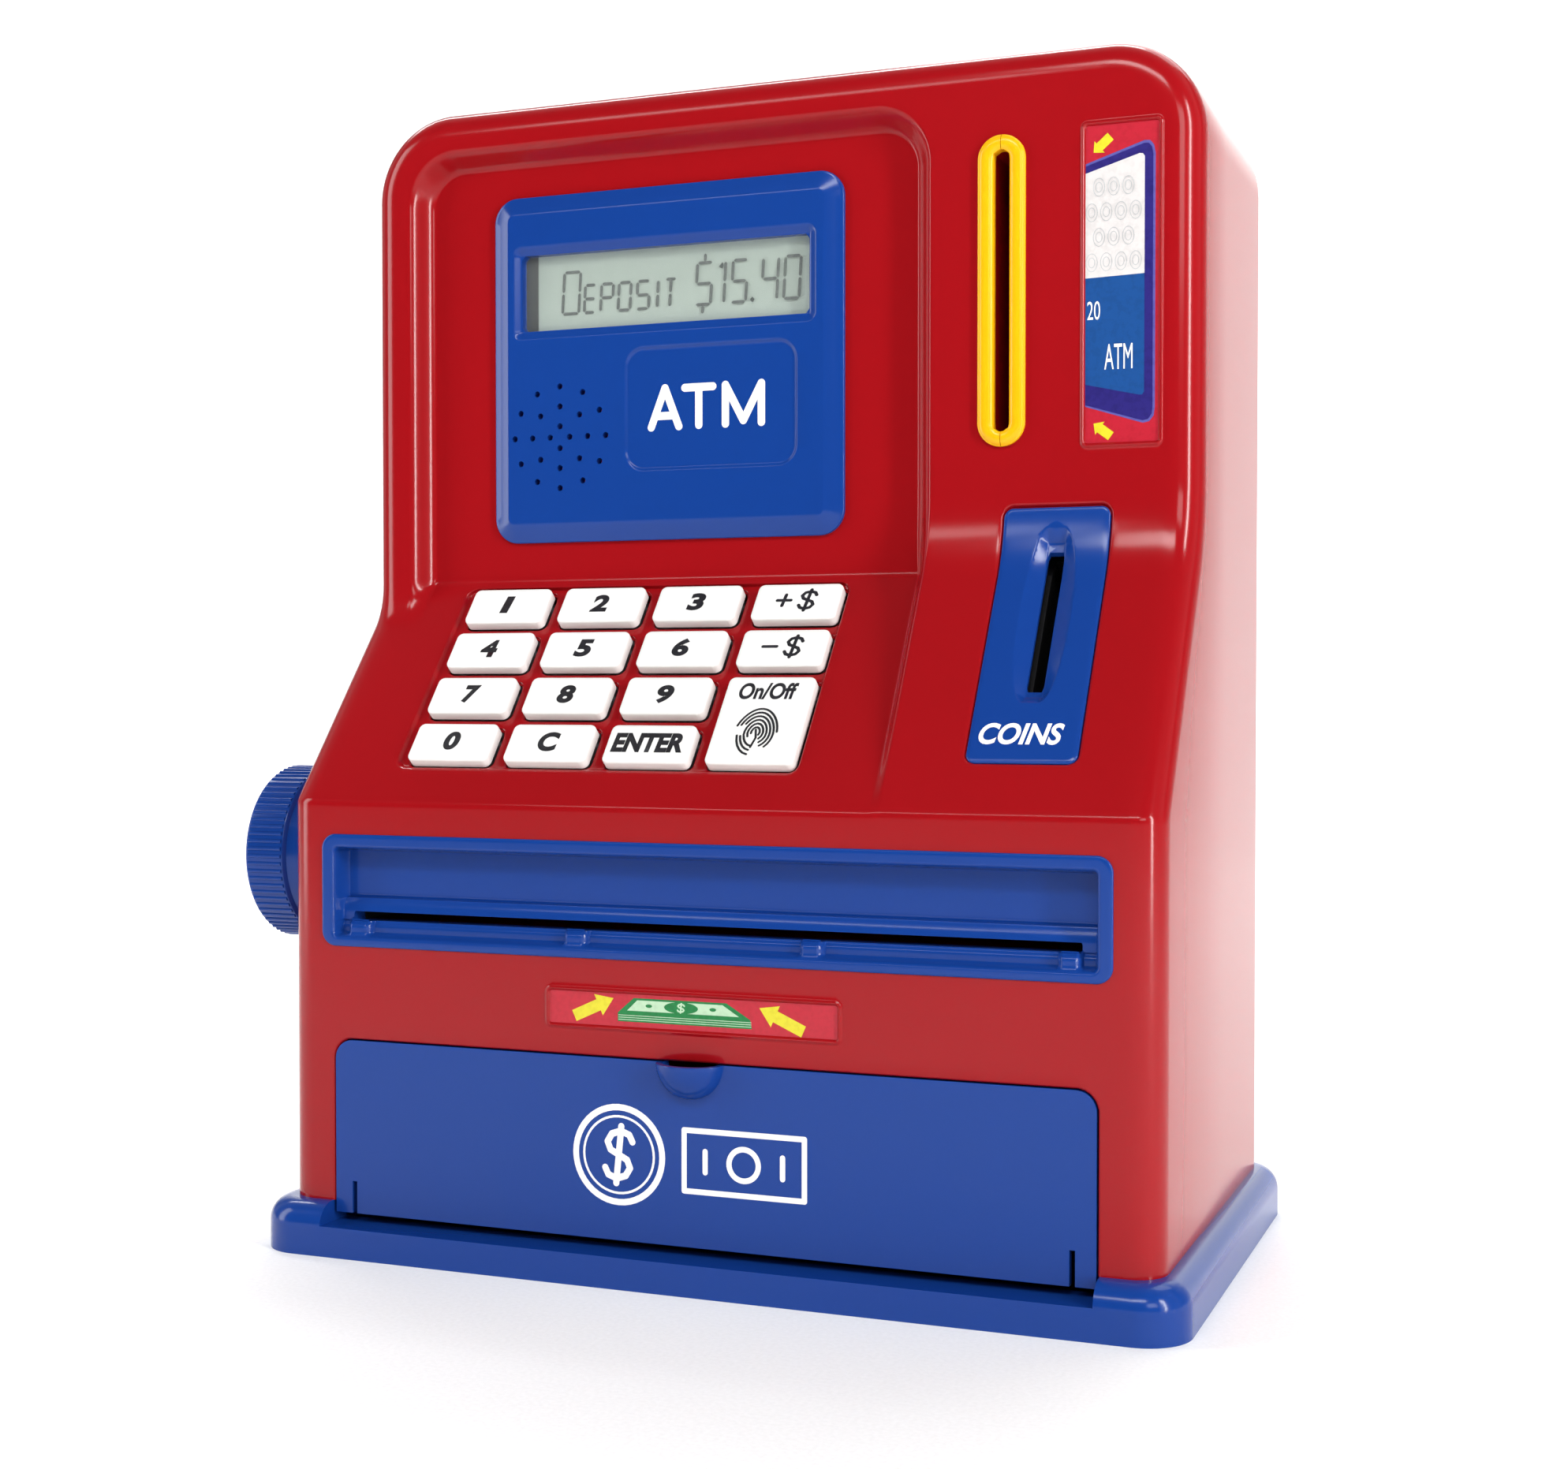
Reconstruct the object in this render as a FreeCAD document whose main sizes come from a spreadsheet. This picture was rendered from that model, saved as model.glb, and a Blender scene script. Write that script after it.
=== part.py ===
import FreeCAD, Part
import os
import re
import Sketcher

# A toy cash machine money box: a moulded two-part housing on a plinth, with a keypad, a display, a card slot,
# a coin slot, a note feeder turned by a side knob, and a drop-down door to the cash space.
# Frame: X to the right, Y to the back, Z up, origin on the floor at the centre of the plinth. Millimetres.

doc = FreeCAD.newDocument("cash_machine_bank")

DIMENSIONS = {
    "body_width": 236,
    "body_depth": 135.2,
    "body_top": 311.5,
    "wall": 2.5,
    "corner_radius": 24,
    "edge_radius": 7,
    "seam_y": 10,
    "face_y": -24.5,
    "recess_depth": 6,
    "recess_left": -101.2,
    "recess_top": 297,
    "recess_radius": 12,
    "column_x": 46,
    "shelf_z": 119.6,
    "key_lean": 39.44,
    "column_lean": 32.2,
    "frame_bend_radius": 20,
    "floor_bend_radius": 14,
    "column_bend_radius": 46,
    "shelf_radius": 3,
    "plinth_side": 6.3,
    "plinth_front": 7,
    "plinth_height": 13.5,
    "plinth_radius": 12,
    "plinth_edge": 6,
    "plinth_floor": 2.5,
    "sill_height": 8,
    "sill_half": 103.5,
    "door_half": 102.7,
    "door_low": 10.5,
    "door_top": 56.4,
    "door_radius": 5,
    "door_gap": 0.4,
    "hinge_y": -63.2,
    "hinge_z": 16,
    "hinge_pin": 1.5,
    "pull_radius": 9,
    "pull_depth": 7,
    "display_x": -28.8,
    "display_width": 104,
    "display_low": 190,
    "display_height": 96.1,
    "display_proud": 2.8,
    "display_radius": 7,
    "lens_x": -29.3,
    "lens_width": 85.4,
    "lens_low": 249,
    "lens_height": 20.6,
    "speaker_x": -59.6,
    "speaker_z": 218.9,
    "speaker_radius": 18,
    "sound_hole": 0.85,
    "key_width": 23.9,
    "key_height": 12.3,
    "key_first_x": -73.2,
    "key_pitch_x": 28.57,
    "key_first_up": 19.1,
    "key_pitch_up": 15.95,
    "key_proud": 2.1,
    "key_radius": 1.8,
    "key_gap": 0.35,
    "key_travel": 1.5,
    "pad_left": -88.8,
    "pad_right": 25.2,
    "pad_low": 12.2,
    "pad_high": 75,
    "pad_sunk": 1.2,
    "coin_x": 82.1,
    "coin_width": 27.4,
    "coin_low": 14.4,
    "coin_high": 86.8,
    "coin_slot_width": 3.6,
    "coin_slot_low": 35.5,
    "coin_slot_high": 76.4,
    "card_x": 67.5,
    "card_width": 12.4,
    "card_low": 210.8,
    "card_high": 289.4,
    "card_gap": 5.2,
    "card_deep": 44,
    "card_label_x": 98.2,
    "card_label_width": 21.1,
    "card_label_low": 209.4,
    "card_label_high": 290.9,
    "note_half": 106.5,
    "note_low": 81.3,
    "note_high": 111,
    "note_proud": 0.7,
    "note_slot_half": 100,
    "note_slot_low": 87.5,
    "note_slot_high": 90,
    "note_label_half": 40.3,
    "note_label_low": 63.3,
    "note_label_high": 74.3,
    "feed_y": -34.6,
    "feed_z": 103.6,
    "feed_radius": 14,
    "feed_width": 9,
    "feed_x": 44.6,
    "shaft_radius": 3,
    "pinch_z": 83.9,
    "pinch_radius": 5.2,
    "pinch_shaft": 1.5,
    "knob_radius": 24,
    "knob_out": 138,
    "post_radius": 4,
    "screw_radius": 1.4,
    "battery_radius": 7.1,
    "battery_length": 50,
    "battery_pitch": 16.5,
    "bay_half": 28,
    "bay_low": 203,
    "bay_high": 267,
    "bay_depth": 18,
}

sizes = doc.addObject("Spreadsheet::Sheet", "Sizes")
for row, (alias, number) in enumerate(DIMENSIONS.items(), 1):
    sizes.set(f"A{row}", alias)
    sizes.set(f"B{row}", str(number))
    sizes.setAlias(f"B{row}", alias)
doc.recompute()

HALF_WIDTH = "body_width / 2"
FRONT = "-body_depth / 2"
BACK = "body_depth / 2"
RECESS = "(face_y + recess_depth)"


def bound(text):
    """The text as an expression on the sheet's cells."""

    def cell(word):
        return "Sizes." + word[0] if word[0] in DIMENSIONS else word[0]

    return re.sub(r"[a-z][a-z_0-9]*", cell, str(text))


def number(text):
    """The value of an expression, as a plain number."""
    found = sizes.evalExpression(bound(text))
    return float(getattr(found, "Value", found))


def place(solid, corner):
    """Binds where a solid stands."""
    for axis, text in zip("xyz", corner):
        solid.setExpression("Placement.Base." + axis, bound(text))
    return solid


def box(name, low, high):
    """A block between two corners."""
    solid = doc.addObject("Part::Box", name)
    for side, start, end in zip(("Length", "Width", "Height"), low, high):
        solid.setExpression(side, bound(f"({end}) - ({start})"))
    return place(solid, low)


TURNS = {
    "X": FreeCAD.Rotation(FreeCAD.Vector(0, 1, 0), 90),
    "Y": FreeCAD.Rotation(FreeCAD.Vector(1, 0, 0), -90),
    "Z": FreeCAD.Rotation(),
}


def rod(name, along, radius, start, length):
    """A cylinder from a point, along one axis."""
    solid = doc.addObject("Part::Cylinder", name)
    solid.setExpression("Radius", bound(radius))
    solid.setExpression("Height", bound(length))
    solid.Placement.Rotation = TURNS[along]
    return place(solid, start)


def fuse(name, solids):
    """Several solids as one."""
    joined = doc.addObject("Part::MultiFuse", name)
    joined.Shapes = solids
    return joined


def cut(name, base, tool):
    """One solid less another."""
    left = doc.addObject("Part::Cut", name)
    left.Base = base
    left.Tool = tool
    return left


def common(name, solids):
    """What several solids share."""
    shared = doc.addObject("Part::MultiCommon", name)
    shared.Shapes = solids
    return shared


def rounded(name, base, radius, chosen):
    """The solid with some of its edges rounded: chosen says which, from an edge's middle and direction."""
    doc.recompute()
    blend = doc.addObject("Part::Fillet", name)
    blend.Base = base
    size = number(radius)
    picked = []
    for place_in_list, edge in enumerate(base.Shape.Edges, 1):
        middle = edge.valueAt((edge.FirstParameter + edge.LastParameter) / 2)
        heading = edge.tangentAt((edge.FirstParameter + edge.LastParameter) / 2)
        if chosen(middle, heading):
            picked.append((place_in_list, size, size))
    blend.Edges = picked
    return blend


def prism(name, outline, start, end):
    """A bar along X whose section is an outline of (Y, Z) corners, padded from a constrained sketch."""
    body = doc.addObject("PartDesign::Body", name)
    plane = [part for part in body.Origin.OriginFeatures if part.Role == "YZ_Plane"][0]
    sketch = body.newObject("Sketcher::SketchObject", name + "_outline")
    sketch.AttachmentSupport = (plane, [""])
    sketch.MapMode = "FlatFace"
    points = [FreeCAD.Vector(number(y), number(z), 0) for y, z in outline]
    for here, there in zip(points, points[1:] + points[:1]):
        sketch.addGeometry(Part.LineSegment(here, there), False)
    count = len(points)
    for side in range(count):
        sketch.addConstraint(Sketcher.Constraint("Coincident", side, 2, (side + 1) % count, 1))
    for side, (y, z) in enumerate(outline):
        for kind, text in (("DistanceX", y), ("DistanceY", z)):
            limit = sketch.addConstraint(Sketcher.Constraint(kind, -1, 1, side, 1, number(text)))
            sketch.setExpression(f"Constraints[{limit}]", bound(text))
    pad = body.newObject("PartDesign::Pad", name + "_pad")
    pad.Profile = sketch
    pad.setExpression("Length", bound(f"({end}) - ({start})"))
    place(body, (start, 0, 0))
    return body


def tilt(solid, lean):
    """Lays a solid that was drawn upright at the origin on a sloping face that rises from the shelf."""
    laid = doc.addObject("Part::Compound", solid.Name + "_laid")
    laid.Links = [solid]
    laid.Placement.Rotation = FreeCAD.Rotation(FreeCAD.Vector(-1, 0, 0), 1)
    laid.setExpression("Placement.Rotation.Angle", bound(lean))
    return place(laid, (0, FRONT, "shelf_z"))


def along_y(middle, heading):
    """True for an edge that runs from front to back."""
    return abs(heading.y) > 0.999


def along_z(middle, heading):
    """True for an upright edge."""
    return abs(heading.z) > 0.999


PARTS = []


def finished(solid, label):
    """Names a sub-part."""
    solid.Label = label
    PARTS.append(solid)
    return solid


# Front housing: the red front moulding with its sides, down to the plinth.
def slope_z(depth, lean):
    """The height at which a sloping face is that far behind the lower front."""
    return f"(shelf_z + ({depth}) / tan({lean}))"


def front_block(name, face, lean, inset, start, end):
    """The solid behind one upright face and the slope under it, moved in by an inset all round."""
    near = f"({FRONT} + {inset})"
    slant = f"(({inset}) / cos({lean}))"
    outline = [
        (near, f"plinth_height - {inset}"),
        (f"seam_y + {inset}", f"plinth_height - {inset}"),
        (f"seam_y + {inset}", f"body_top - {inset}"),
        (face, f"body_top - {inset}"),
        (face, slope_z(f"{face} - ({FRONT}) - {slant}", lean)),
        (near, slope_z(f"{near} - ({FRONT}) - {slant}", lean)),
    ]
    return prism(name, outline, start, end)


def bend(name, base, radius, depth_y):
    """Rounds the edge along X where an upright face meets its slope."""
    level = number(depth_y)
    top = number("body_top") - 10
    return rounded(
        name, base, radius, lambda at, way: abs(way.x) > 0.999 and abs(at.y - level) < 0.1 and at.z < top
    )


frame_block = front_block("frame_block", "face_y", "key_lean", 0, f"-{HALF_WIDTH}", "recess_left")
floor_block = front_block("floor_block", RECESS, "key_lean", 0, "recess_left", "column_x")
column_block = front_block("column_block", "face_y", "column_lean", 0, "column_x", HALF_WIDTH)
frame_bent = bend("frame_bent", frame_block, "frame_bend_radius", "face_y")
floor_bent = bend("floor_bent", floor_block, "floor_bend_radius", RECESS)
column_bent = bend("column_bent", column_block, "column_bend_radius", "face_y")
top_bar = box("top_bar", (f"-{HALF_WIDTH}", "face_y", "recess_top"), (HALF_WIDTH, "seam_y", "body_top"))
front_mass = fuse("front_mass", [frame_bent, floor_bent, column_bent, top_bar])
recess_z = number("recess_top")
recess_y = number("face_y") + number("recess_depth") / 2
front_relief = rounded(
    "front_relief",
    front_mass,
    "recess_radius",
    lambda at, way: along_y(at, way) and abs(at.z - recess_z) < 0.1 and abs(at.y - recess_y) < 1,
)
outline_box = box(
    "outline_box",
    (f"-{HALF_WIDTH}", f"{FRONT} - 1", "plinth_height"),
    (HALF_WIDTH, "seam_y", "body_top"),
)
top_z = number("body_top")
outline = rounded(
    "outline", outline_box, "corner_radius", lambda at, way: along_y(at, way) and at.z > top_z - 1
)
front_sharp = common("front_sharp", [front_relief, outline])
half_width = number(HALF_WIDTH)
face_y = number("face_y")
seam_y = number("seam_y")
low_z = number("plinth_height")


def outer_edge(middle, heading):
    """True for the edges between the front faces and the sides, corners and top."""
    inside = middle.y > seam_y - 1 or middle.z < low_z + 1
    on_side = abs(middle.x) > half_width - 0.1
    on_top = middle.z > top_z - 0.1 and abs(heading.x) > 0.999
    on_corner = abs(middle.x) > half_width - 20 and middle.z > top_z - 20 and abs(middle.y - face_y) < 0.1
    return not inside and abs(heading.y) < 0.999 and (on_side or on_top or on_corner)


front_solid = rounded("front_solid", front_sharp, "edge_radius", outer_edge)

floor_cavity = front_block(
    "floor_cavity", f"({RECESS} + wall)", "key_lean", "wall", f"-{HALF_WIDTH} + wall", "column_x + wall"
)
column_cavity = front_block(
    "column_cavity", "(face_y + wall)", "column_lean", "wall", "column_x + wall", f"{HALF_WIDTH} - wall"
)
left_rim_cavity = box(
    "left_rim_cavity",
    (f"-{HALF_WIDTH} + wall", "face_y + wall", 190),
    ("recess_left - wall", f"{RECESS} + wall + 1", "body_top - wall"),
)
top_rim_cavity = box(
    "top_rim_cavity",
    (f"-{HALF_WIDTH} + wall", "face_y + wall", "recess_top + wall"),
    ("column_x + wall + 1", f"{RECESS} + wall + 1", "body_top - wall"),
)
cavity_mass = fuse("cavity_mass", [floor_cavity, column_cavity, left_rim_cavity, top_rim_cavity])
cavity_box = box(
    "cavity_box",
    (f"-{HALF_WIDTH} + wall", FRONT, "plinth_height - wall"),
    (f"{HALF_WIDTH} - wall", "seam_y + wall", "body_top - wall"),
)
cavity_outline = rounded(
    "cavity_outline",
    cavity_box,
    "corner_radius - wall",
    lambda at, way: along_y(at, way) and at.z > top_z - 10,
)
front_cavity = common("front_cavity", [cavity_mass, cavity_outline])

SCREW_X = 104
SCREW_HEIGHTS = (44, 160, 288)
POST_PLACES = [(side * SCREW_X, height) for side in (-1, 1) for height in SCREW_HEIGHTS]
posts = [
    rod(f"front_post_{index}", "Y", "post_radius", (x, FRONT, z), "body_depth / 2 + seam_y")
    for index, (x, z) in enumerate(POST_PLACES)
]
FOOT_PLACES_FRONT = [(-112, -34), (112, -34)]
FOOT_PLACES_REAR = [(-112, 42), (112, 42)]
posts += [
    rod(f"front_foot_{index}", "Z", "post_radius", (x, y, 0), "plinth_height + 22")
    for index, (x, y) in enumerate(FOOT_PLACES_FRONT)
]
hinge_lugs = [
    box(
        f"hinge_lug_{name}",
        (low, FRONT, 0),
        (high, "hinge_y + hinge_pin + 1.5", "hinge_z + hinge_pin + 2"),
    )
    for name, low, high in (
        ("left", "-door_half - 8", "-door_half - door_gap"),
        ("right", "door_half + door_gap", "door_half + 8"),
    )
]
BOARD_POSTS = [(x, z) for x in (-81, 23.2) for z in (247, 277)]
posts += [
    rod(f"board_post_{index}", "Y", 2.6, (x, "face_y", z), "-12 - (face_y)")
    for index, (x, z) in enumerate(BOARD_POSTS)
]
KEYPAD_POSTS = [(x, up) for x in (-92, 29) for up in (22, 68)]
keypad_posts_upright = fuse(
    "keypad_posts_upright",
    [
        rod(f"keypad_post_{index}", "Y", 2.6, (x, 0, up), 10.4)
        for index, (x, up) in enumerate(KEYPAD_POSTS)
    ],
)
keypad_posts = tilt(keypad_posts_upright, "key_lean")
solid_inside = fuse("solid_inside", posts + hinge_lugs + [keypad_posts])
hollow = cut("hollow", front_cavity, solid_inside)
front_shell = cut("front_shell", front_solid, hollow)

display_hole = box(
    "display_hole",
    ("display_x - display_width / 2 + 3.8", "face_y", "display_low + 4"),
    ("display_x + display_width / 2 - 3.8", f"{RECESS} + wall + 1", "display_low + display_height - 4"),
)

KEY_NAMES = {
    "key_0": (0, 0),
    "key_clear": (1, 0),
    "key_enter": (2, 0),
    "key_7": (0, 1),
    "key_8": (1, 1),
    "key_9": (2, 1),
    "key_4": (0, 2),
    "key_5": (1, 2),
    "key_6": (2, 2),
    "key_minus": (3, 2),
    "key_1": (0, 3),
    "key_2": (1, 3),
    "key_3": (2, 3),
    "key_plus": (3, 3),
    "key_power": (3, 0),
}


def key_span(name):
    """The left, right, low and high sides of a key on the sloping face."""
    column, line = KEY_NAMES[name]
    middle = f"(key_first_x + {column} * key_pitch_x)"
    low = f"(key_first_up + {line} * key_pitch_up - key_height / 2)"
    tall = "(key_height + key_pitch_up)" if name == "key_power" else "key_height"
    return f"({middle} - key_width / 2)", f"({middle} + key_width / 2)", low, f"({low} + {tall})"


def key_block(name, key, margin, front, back):
    """A block over a key's outline, with a margin round it."""
    left, right, low, high = key_span(key)
    return box(
        name,
        (f"{left} - ({margin})", front, f"{low} - ({margin})"),
        (f"{right} + {margin}", back, f"{high} + {margin}"),
    )


key_holes = [
    key_block(f"hole_of_{key}", key, "key_gap", -3, "wall + pad_sunk + 3") for key in KEY_NAMES
]
pad_floor = box("pad_floor", ("pad_left", -3, "pad_low"), ("pad_right", "pad_sunk", "pad_high"))
pad_cutter = tilt(fuse("pad_cutter_upright", key_holes + [pad_floor]), "key_lean")

coin_hole_block = box(
    "coin_hole_block",
    ("coin_x - coin_width / 2 - 0.15", -20, "coin_low - 0.15"),
    ("coin_x + coin_width / 2 + 0.15", "wall + 4", "coin_high + 0.15"),
)
coin_hole = tilt(rounded("coin_hole_upright", coin_hole_block, 2.5, along_y), "column_lean")
card_hole = box(
    "card_hole",
    ("card_x - card_gap / 2 - 1.6", "face_y - 1", "card_low + 2"),
    ("card_x + card_gap / 2 + 1.6", "face_y + wall + 1", "card_high - 2"),
)
note_hole = box(
    "note_hole",
    ("-note_half + 1.7", f"{FRONT} - 1", "note_low + 1.7"),
    ("note_half - 1.7", f"{FRONT} + wall + 1", "note_high - 1.7"),
)
door_hole_block = box(
    "door_hole_block",
    ("-door_half - door_gap", f"{FRONT} - 1", -20),
    ("door_half + door_gap", f"{FRONT} + 12", "door_top + door_gap"),
)
door_hole = rounded(
    "door_hole", door_hole_block, "door_radius", lambda at, way: along_y(at, way) and at.z > 20
)
hinge_bore = rod(
    "hinge_bore",
    "X",
    "hinge_pin + 0.05",
    ("-door_half - 4.6", "hinge_y", "hinge_z"),
    "2 * door_half + 9.2",
)
shaft_hole = rod(
    "shaft_hole", "X", "shaft_radius + 1.5", (f"-{HALF_WIDTH} - 1", "feed_y", "feed_z"), "wall + 2"
)
card_sticker_seat = box(
    "card_sticker_seat",
    ("card_label_x - card_label_width / 2 + 1", "face_y - 1", "card_label_low + 1"),
    ("card_label_x + card_label_width / 2 - 1", "face_y + 0.5", "card_label_high - 1"),
)
note_sticker_seat = box(
    "note_sticker_seat",
    ("-note_label_half + 1", f"{FRONT} - 1", "note_label_low + 1"),
    ("note_label_half - 1", f"{FRONT} + 0.5", "note_label_high - 1"),
)
post_bores = [
    rod(f"front_bore_{index}", "Y", "screw_radius", (x, "seam_y - 18", z), 19)
    for index, (x, z) in enumerate(POST_PLACES)
]
post_bores += [
    rod(f"front_foot_bore_{index}", "Z", "screw_radius", (x, y, 0), "plinth_height + 18")
    for index, (x, y) in enumerate(FOOT_PLACES_FRONT)
]
post_bores += [
    rod(f"board_bore_{index}", "Y", 1, (x, -18, z), 7) for index, (x, z) in enumerate(BOARD_POSTS)
]
front_cutters = fuse(
    "front_cutters",
    [
        display_hole,
        pad_cutter,
        coin_hole,
        card_hole,
        note_hole,
        door_hole,
        hinge_bore,
        shaft_hole,
        card_sticker_seat,
        note_sticker_seat,
    ]
    + post_bores,
)
finished(cut("front_housing_cut", front_shell, front_cutters), "front_housing")


# Rear housing: the red back moulding, a plain tray screwed to the front one.
rear_box = box(
    "rear_box", (f"-{HALF_WIDTH}", "seam_y", "plinth_height"), (HALF_WIDTH, BACK, "body_top")
)
rear_round = rounded(
    "rear_round", rear_box, "corner_radius", lambda at, way: along_y(at, way) and at.z > top_z - 1
)
back_y = number(BACK)
rear_solid = rounded(
    "rear_solid",
    rear_round,
    "edge_radius",
    lambda at, way: abs(at.y - back_y) < 0.1 and at.z > low_z + 1,
)
rear_cavity_box = box(
    "rear_cavity_box",
    (f"-{HALF_WIDTH} + wall", "seam_y - 1", "plinth_height - 1"),
    (f"{HALF_WIDTH} - wall", f"{BACK} - wall", "body_top - wall"),
)
rear_cavity = rounded(
    "rear_cavity",
    rear_cavity_box,
    "corner_radius - wall",
    lambda at, way: along_y(at, way) and at.z > top_z - 10,
)
rear_tubes = [
    rod(f"rear_tube_{index}", "Y", "post_radius + 1.5", (x, "seam_y", z), "body_depth / 2 - seam_y")
    for index, (x, z) in enumerate(POST_PLACES)
]
rear_feet = [
    rod(f"rear_foot_{index}", "Z", "post_radius", (x, y, 0), "plinth_height + 22")
    for index, (x, y) in enumerate(FOOT_PLACES_REAR)
]
rear_hollow = cut("rear_hollow", rear_cavity, fuse("rear_inside", rear_tubes + rear_feet))
HEAD_Y = "(seam_y + 8)"
rear_bores = [
    rod(f"rear_bore_{index}", "Y", "screw_radius + 0.2", (x, "seam_y - 1", z), 30)
    for index, (x, z) in enumerate(POST_PLACES)
]
rear_bores += [
    rod(f"rear_well_{index}", "Y", "post_radius - 0.2", (x, HEAD_Y, z), "body_depth")
    for index, (x, z) in enumerate(POST_PLACES)
]
rear_bores += [
    rod(f"rear_foot_bore_{index}", "Z", "screw_radius", (x, y, 0), "plinth_height + 18")
    for index, (x, y) in enumerate(FOOT_PLACES_REAR)
]
bay_hole = box(
    "bay_hole",
    ("-bay_half", f"{BACK} - wall - 1", "bay_low"),
    ("bay_half", f"{BACK} + 1", "bay_high"),
)
rear_shell = cut("rear_shell", rear_solid, rear_hollow)
rear_cutters = fuse("rear_cutters", rear_bores + [bay_hole])
finished(cut("rear_housing_cut", rear_shell, rear_cutters), "rear_housing")

HEAD_RADIUS = 2.8
HEAD_HEIGHT = 2.2
HOUSING_SCREW_LENGTH = 24


def screw(name, along, seat, way, length):
    """A pan-head screw: seat is under the head, way is +1 or -1 for where the head stands."""
    x, y, z = seat
    drop = {"Y": (0, 1, 0), "Z": (0, 0, 1)}[along]
    head_start = [f"{at} + ({min(way, 0) * HEAD_HEIGHT * unit})" for at, unit in zip(seat, drop)]
    shank_start = [f"{at} + ({-max(way, 0) * length * unit})" for at, unit in zip(seat, drop)]
    head = rod(name + "_head", along, HEAD_RADIUS, head_start, HEAD_HEIGHT)
    shank = rod(name + "_shank", along, "screw_radius", shank_start, length)
    return fuse(name, [head, shank])


def group(name, label, solids):
    """Like pieces that are kept as one sub-part of separate solids."""
    kept = doc.addObject("Part::Compound", name)
    kept.Links = solids
    return finished(kept, label)


group(
    "housing_screw_group",
    "housing_screws",
    [
        screw(f"housing_screw_{index}", "Y", (x, HEAD_Y, z), 1, HOUSING_SCREW_LENGTH)
        for index, (x, z) in enumerate(POST_PLACES)
    ],
)

# Plinth: the blue base moulding with its rounded rim, the floor of the cash space.
plinth_box = box(
    "plinth_box",
    (f"-{HALF_WIDTH} - plinth_side", f"{FRONT} - plinth_front", 0),
    (f"{HALF_WIDTH} + plinth_side", f"{BACK} + plinth_front", "plinth_height"),
)
plinth_corners = rounded("plinth_corners", plinth_box, "plinth_radius", along_z)
plinth_z = number("plinth_height")
plinth_solid = rounded(
    "plinth_solid", plinth_corners, "plinth_edge", lambda at, way: at.z > plinth_z - 0.1
)
plinth_room = box(
    "plinth_room",
    (f"-{HALF_WIDTH} + 5", f"{FRONT} + 6", "plinth_floor"),
    (f"{HALF_WIDTH} - 5", f"{BACK} - 5", "plinth_height + 1"),
)
sill_notch = box(
    "sill_notch",
    ("-sill_half", f"{FRONT} - plinth_front - 1", "sill_height"),
    ("sill_half", f"{FRONT} + 7", "plinth_height + 1"),
)
FOOT_PLACES = FOOT_PLACES_FRONT + FOOT_PLACES_REAR
FOOT_WELL_RADIUS = 3.4
FOOT_WELL_DEPTH = 6
FOOT_SCREW_LENGTH = 22
foot_pads = [
    rod(f"foot_pad_{index}", "Z", "post_radius + 2", (x, y, 0), "plinth_height")
    for index, (x, y) in enumerate(FOOT_PLACES)
]
plinth_room_less = cut("plinth_room_less", plinth_room, fuse("foot_pads", foot_pads))
plinth_wells = []
for index, (x, y) in enumerate(FOOT_PLACES):
    plinth_wells.append(rod(f"plinth_bore_{index}", "Z", "screw_radius + 0.2", (x, y, -1), 20))
    plinth_wells.append(rod(f"plinth_well_{index}", "Z", FOOT_WELL_RADIUS, (x, y, -1), FOOT_WELL_DEPTH + 1))
finished(
    cut("base_cut", plinth_solid, fuse("base_cutters", [plinth_room_less, sill_notch] + plinth_wells)),
    "base",
)
group(
    "base_screw_group",
    "base_screws",
    [
        screw(f"base_screw_{index}", "Z", (x, y, FOOT_WELL_DEPTH), -1, FOOT_SCREW_LENGTH)
        for index, (x, y) in enumerate(FOOT_PLACES)
    ],
)

# Cash door: the blue flap, with hinge ears at its foot and a half-bowl finger pull at its top.
door_block = box(
    "door_block", ("-door_half", FRONT, "door_low"), ("door_half", f"{FRONT} + wall", "door_top")
)
door_plate = rounded(
    "door_plate", door_block, "door_radius", lambda at, way: along_y(at, way) and at.z > 20
)
EAR_WIDTH = 5
EAR_HALF = 2.2
SLIT_WIDTH = 1.4
EARS = (
    ("left", "-door_half", f"-door_half + {EAR_WIDTH}"),
    ("right", f"door_half - {EAR_WIDTH}", "door_half"),
)
door_ears = [
    box(
        f"door_ear_{name}",
        (low, f"{FRONT} + wall - 0.5", f"hinge_z - {EAR_HALF}"),
        (high, f"hinge_y + {EAR_HALF}", f"hinge_z + {EAR_HALF}"),
    )
    for name, low, high in EARS
]
door_pins = [
    rod("door_pin_left", "X", "hinge_pin", ("-door_half - 4", "hinge_y", "hinge_z"), 6),
    rod("door_pin_right", "X", "hinge_pin", ("door_half - 2", "hinge_y", "hinge_z"), 6),
]


def bowl(name, radius, depth):
    """Half of a flattened ball on the door's face, under its top edge."""
    ball = doc.addObject("Part::Ellipsoid", name)
    ball.setExpression("Radius1", bound(depth))
    ball.setExpression("Radius2", bound(radius))
    ball.setExpression("Radius3", bound(radius))
    ball.Angle1 = -90
    ball.Angle2 = 90
    ball.Placement.Rotation = FreeCAD.Rotation(FreeCAD.Vector(1, 0, 0), 90)
    return place(ball, (0, f"{FRONT} + 0.5", "door_top"))


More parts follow.
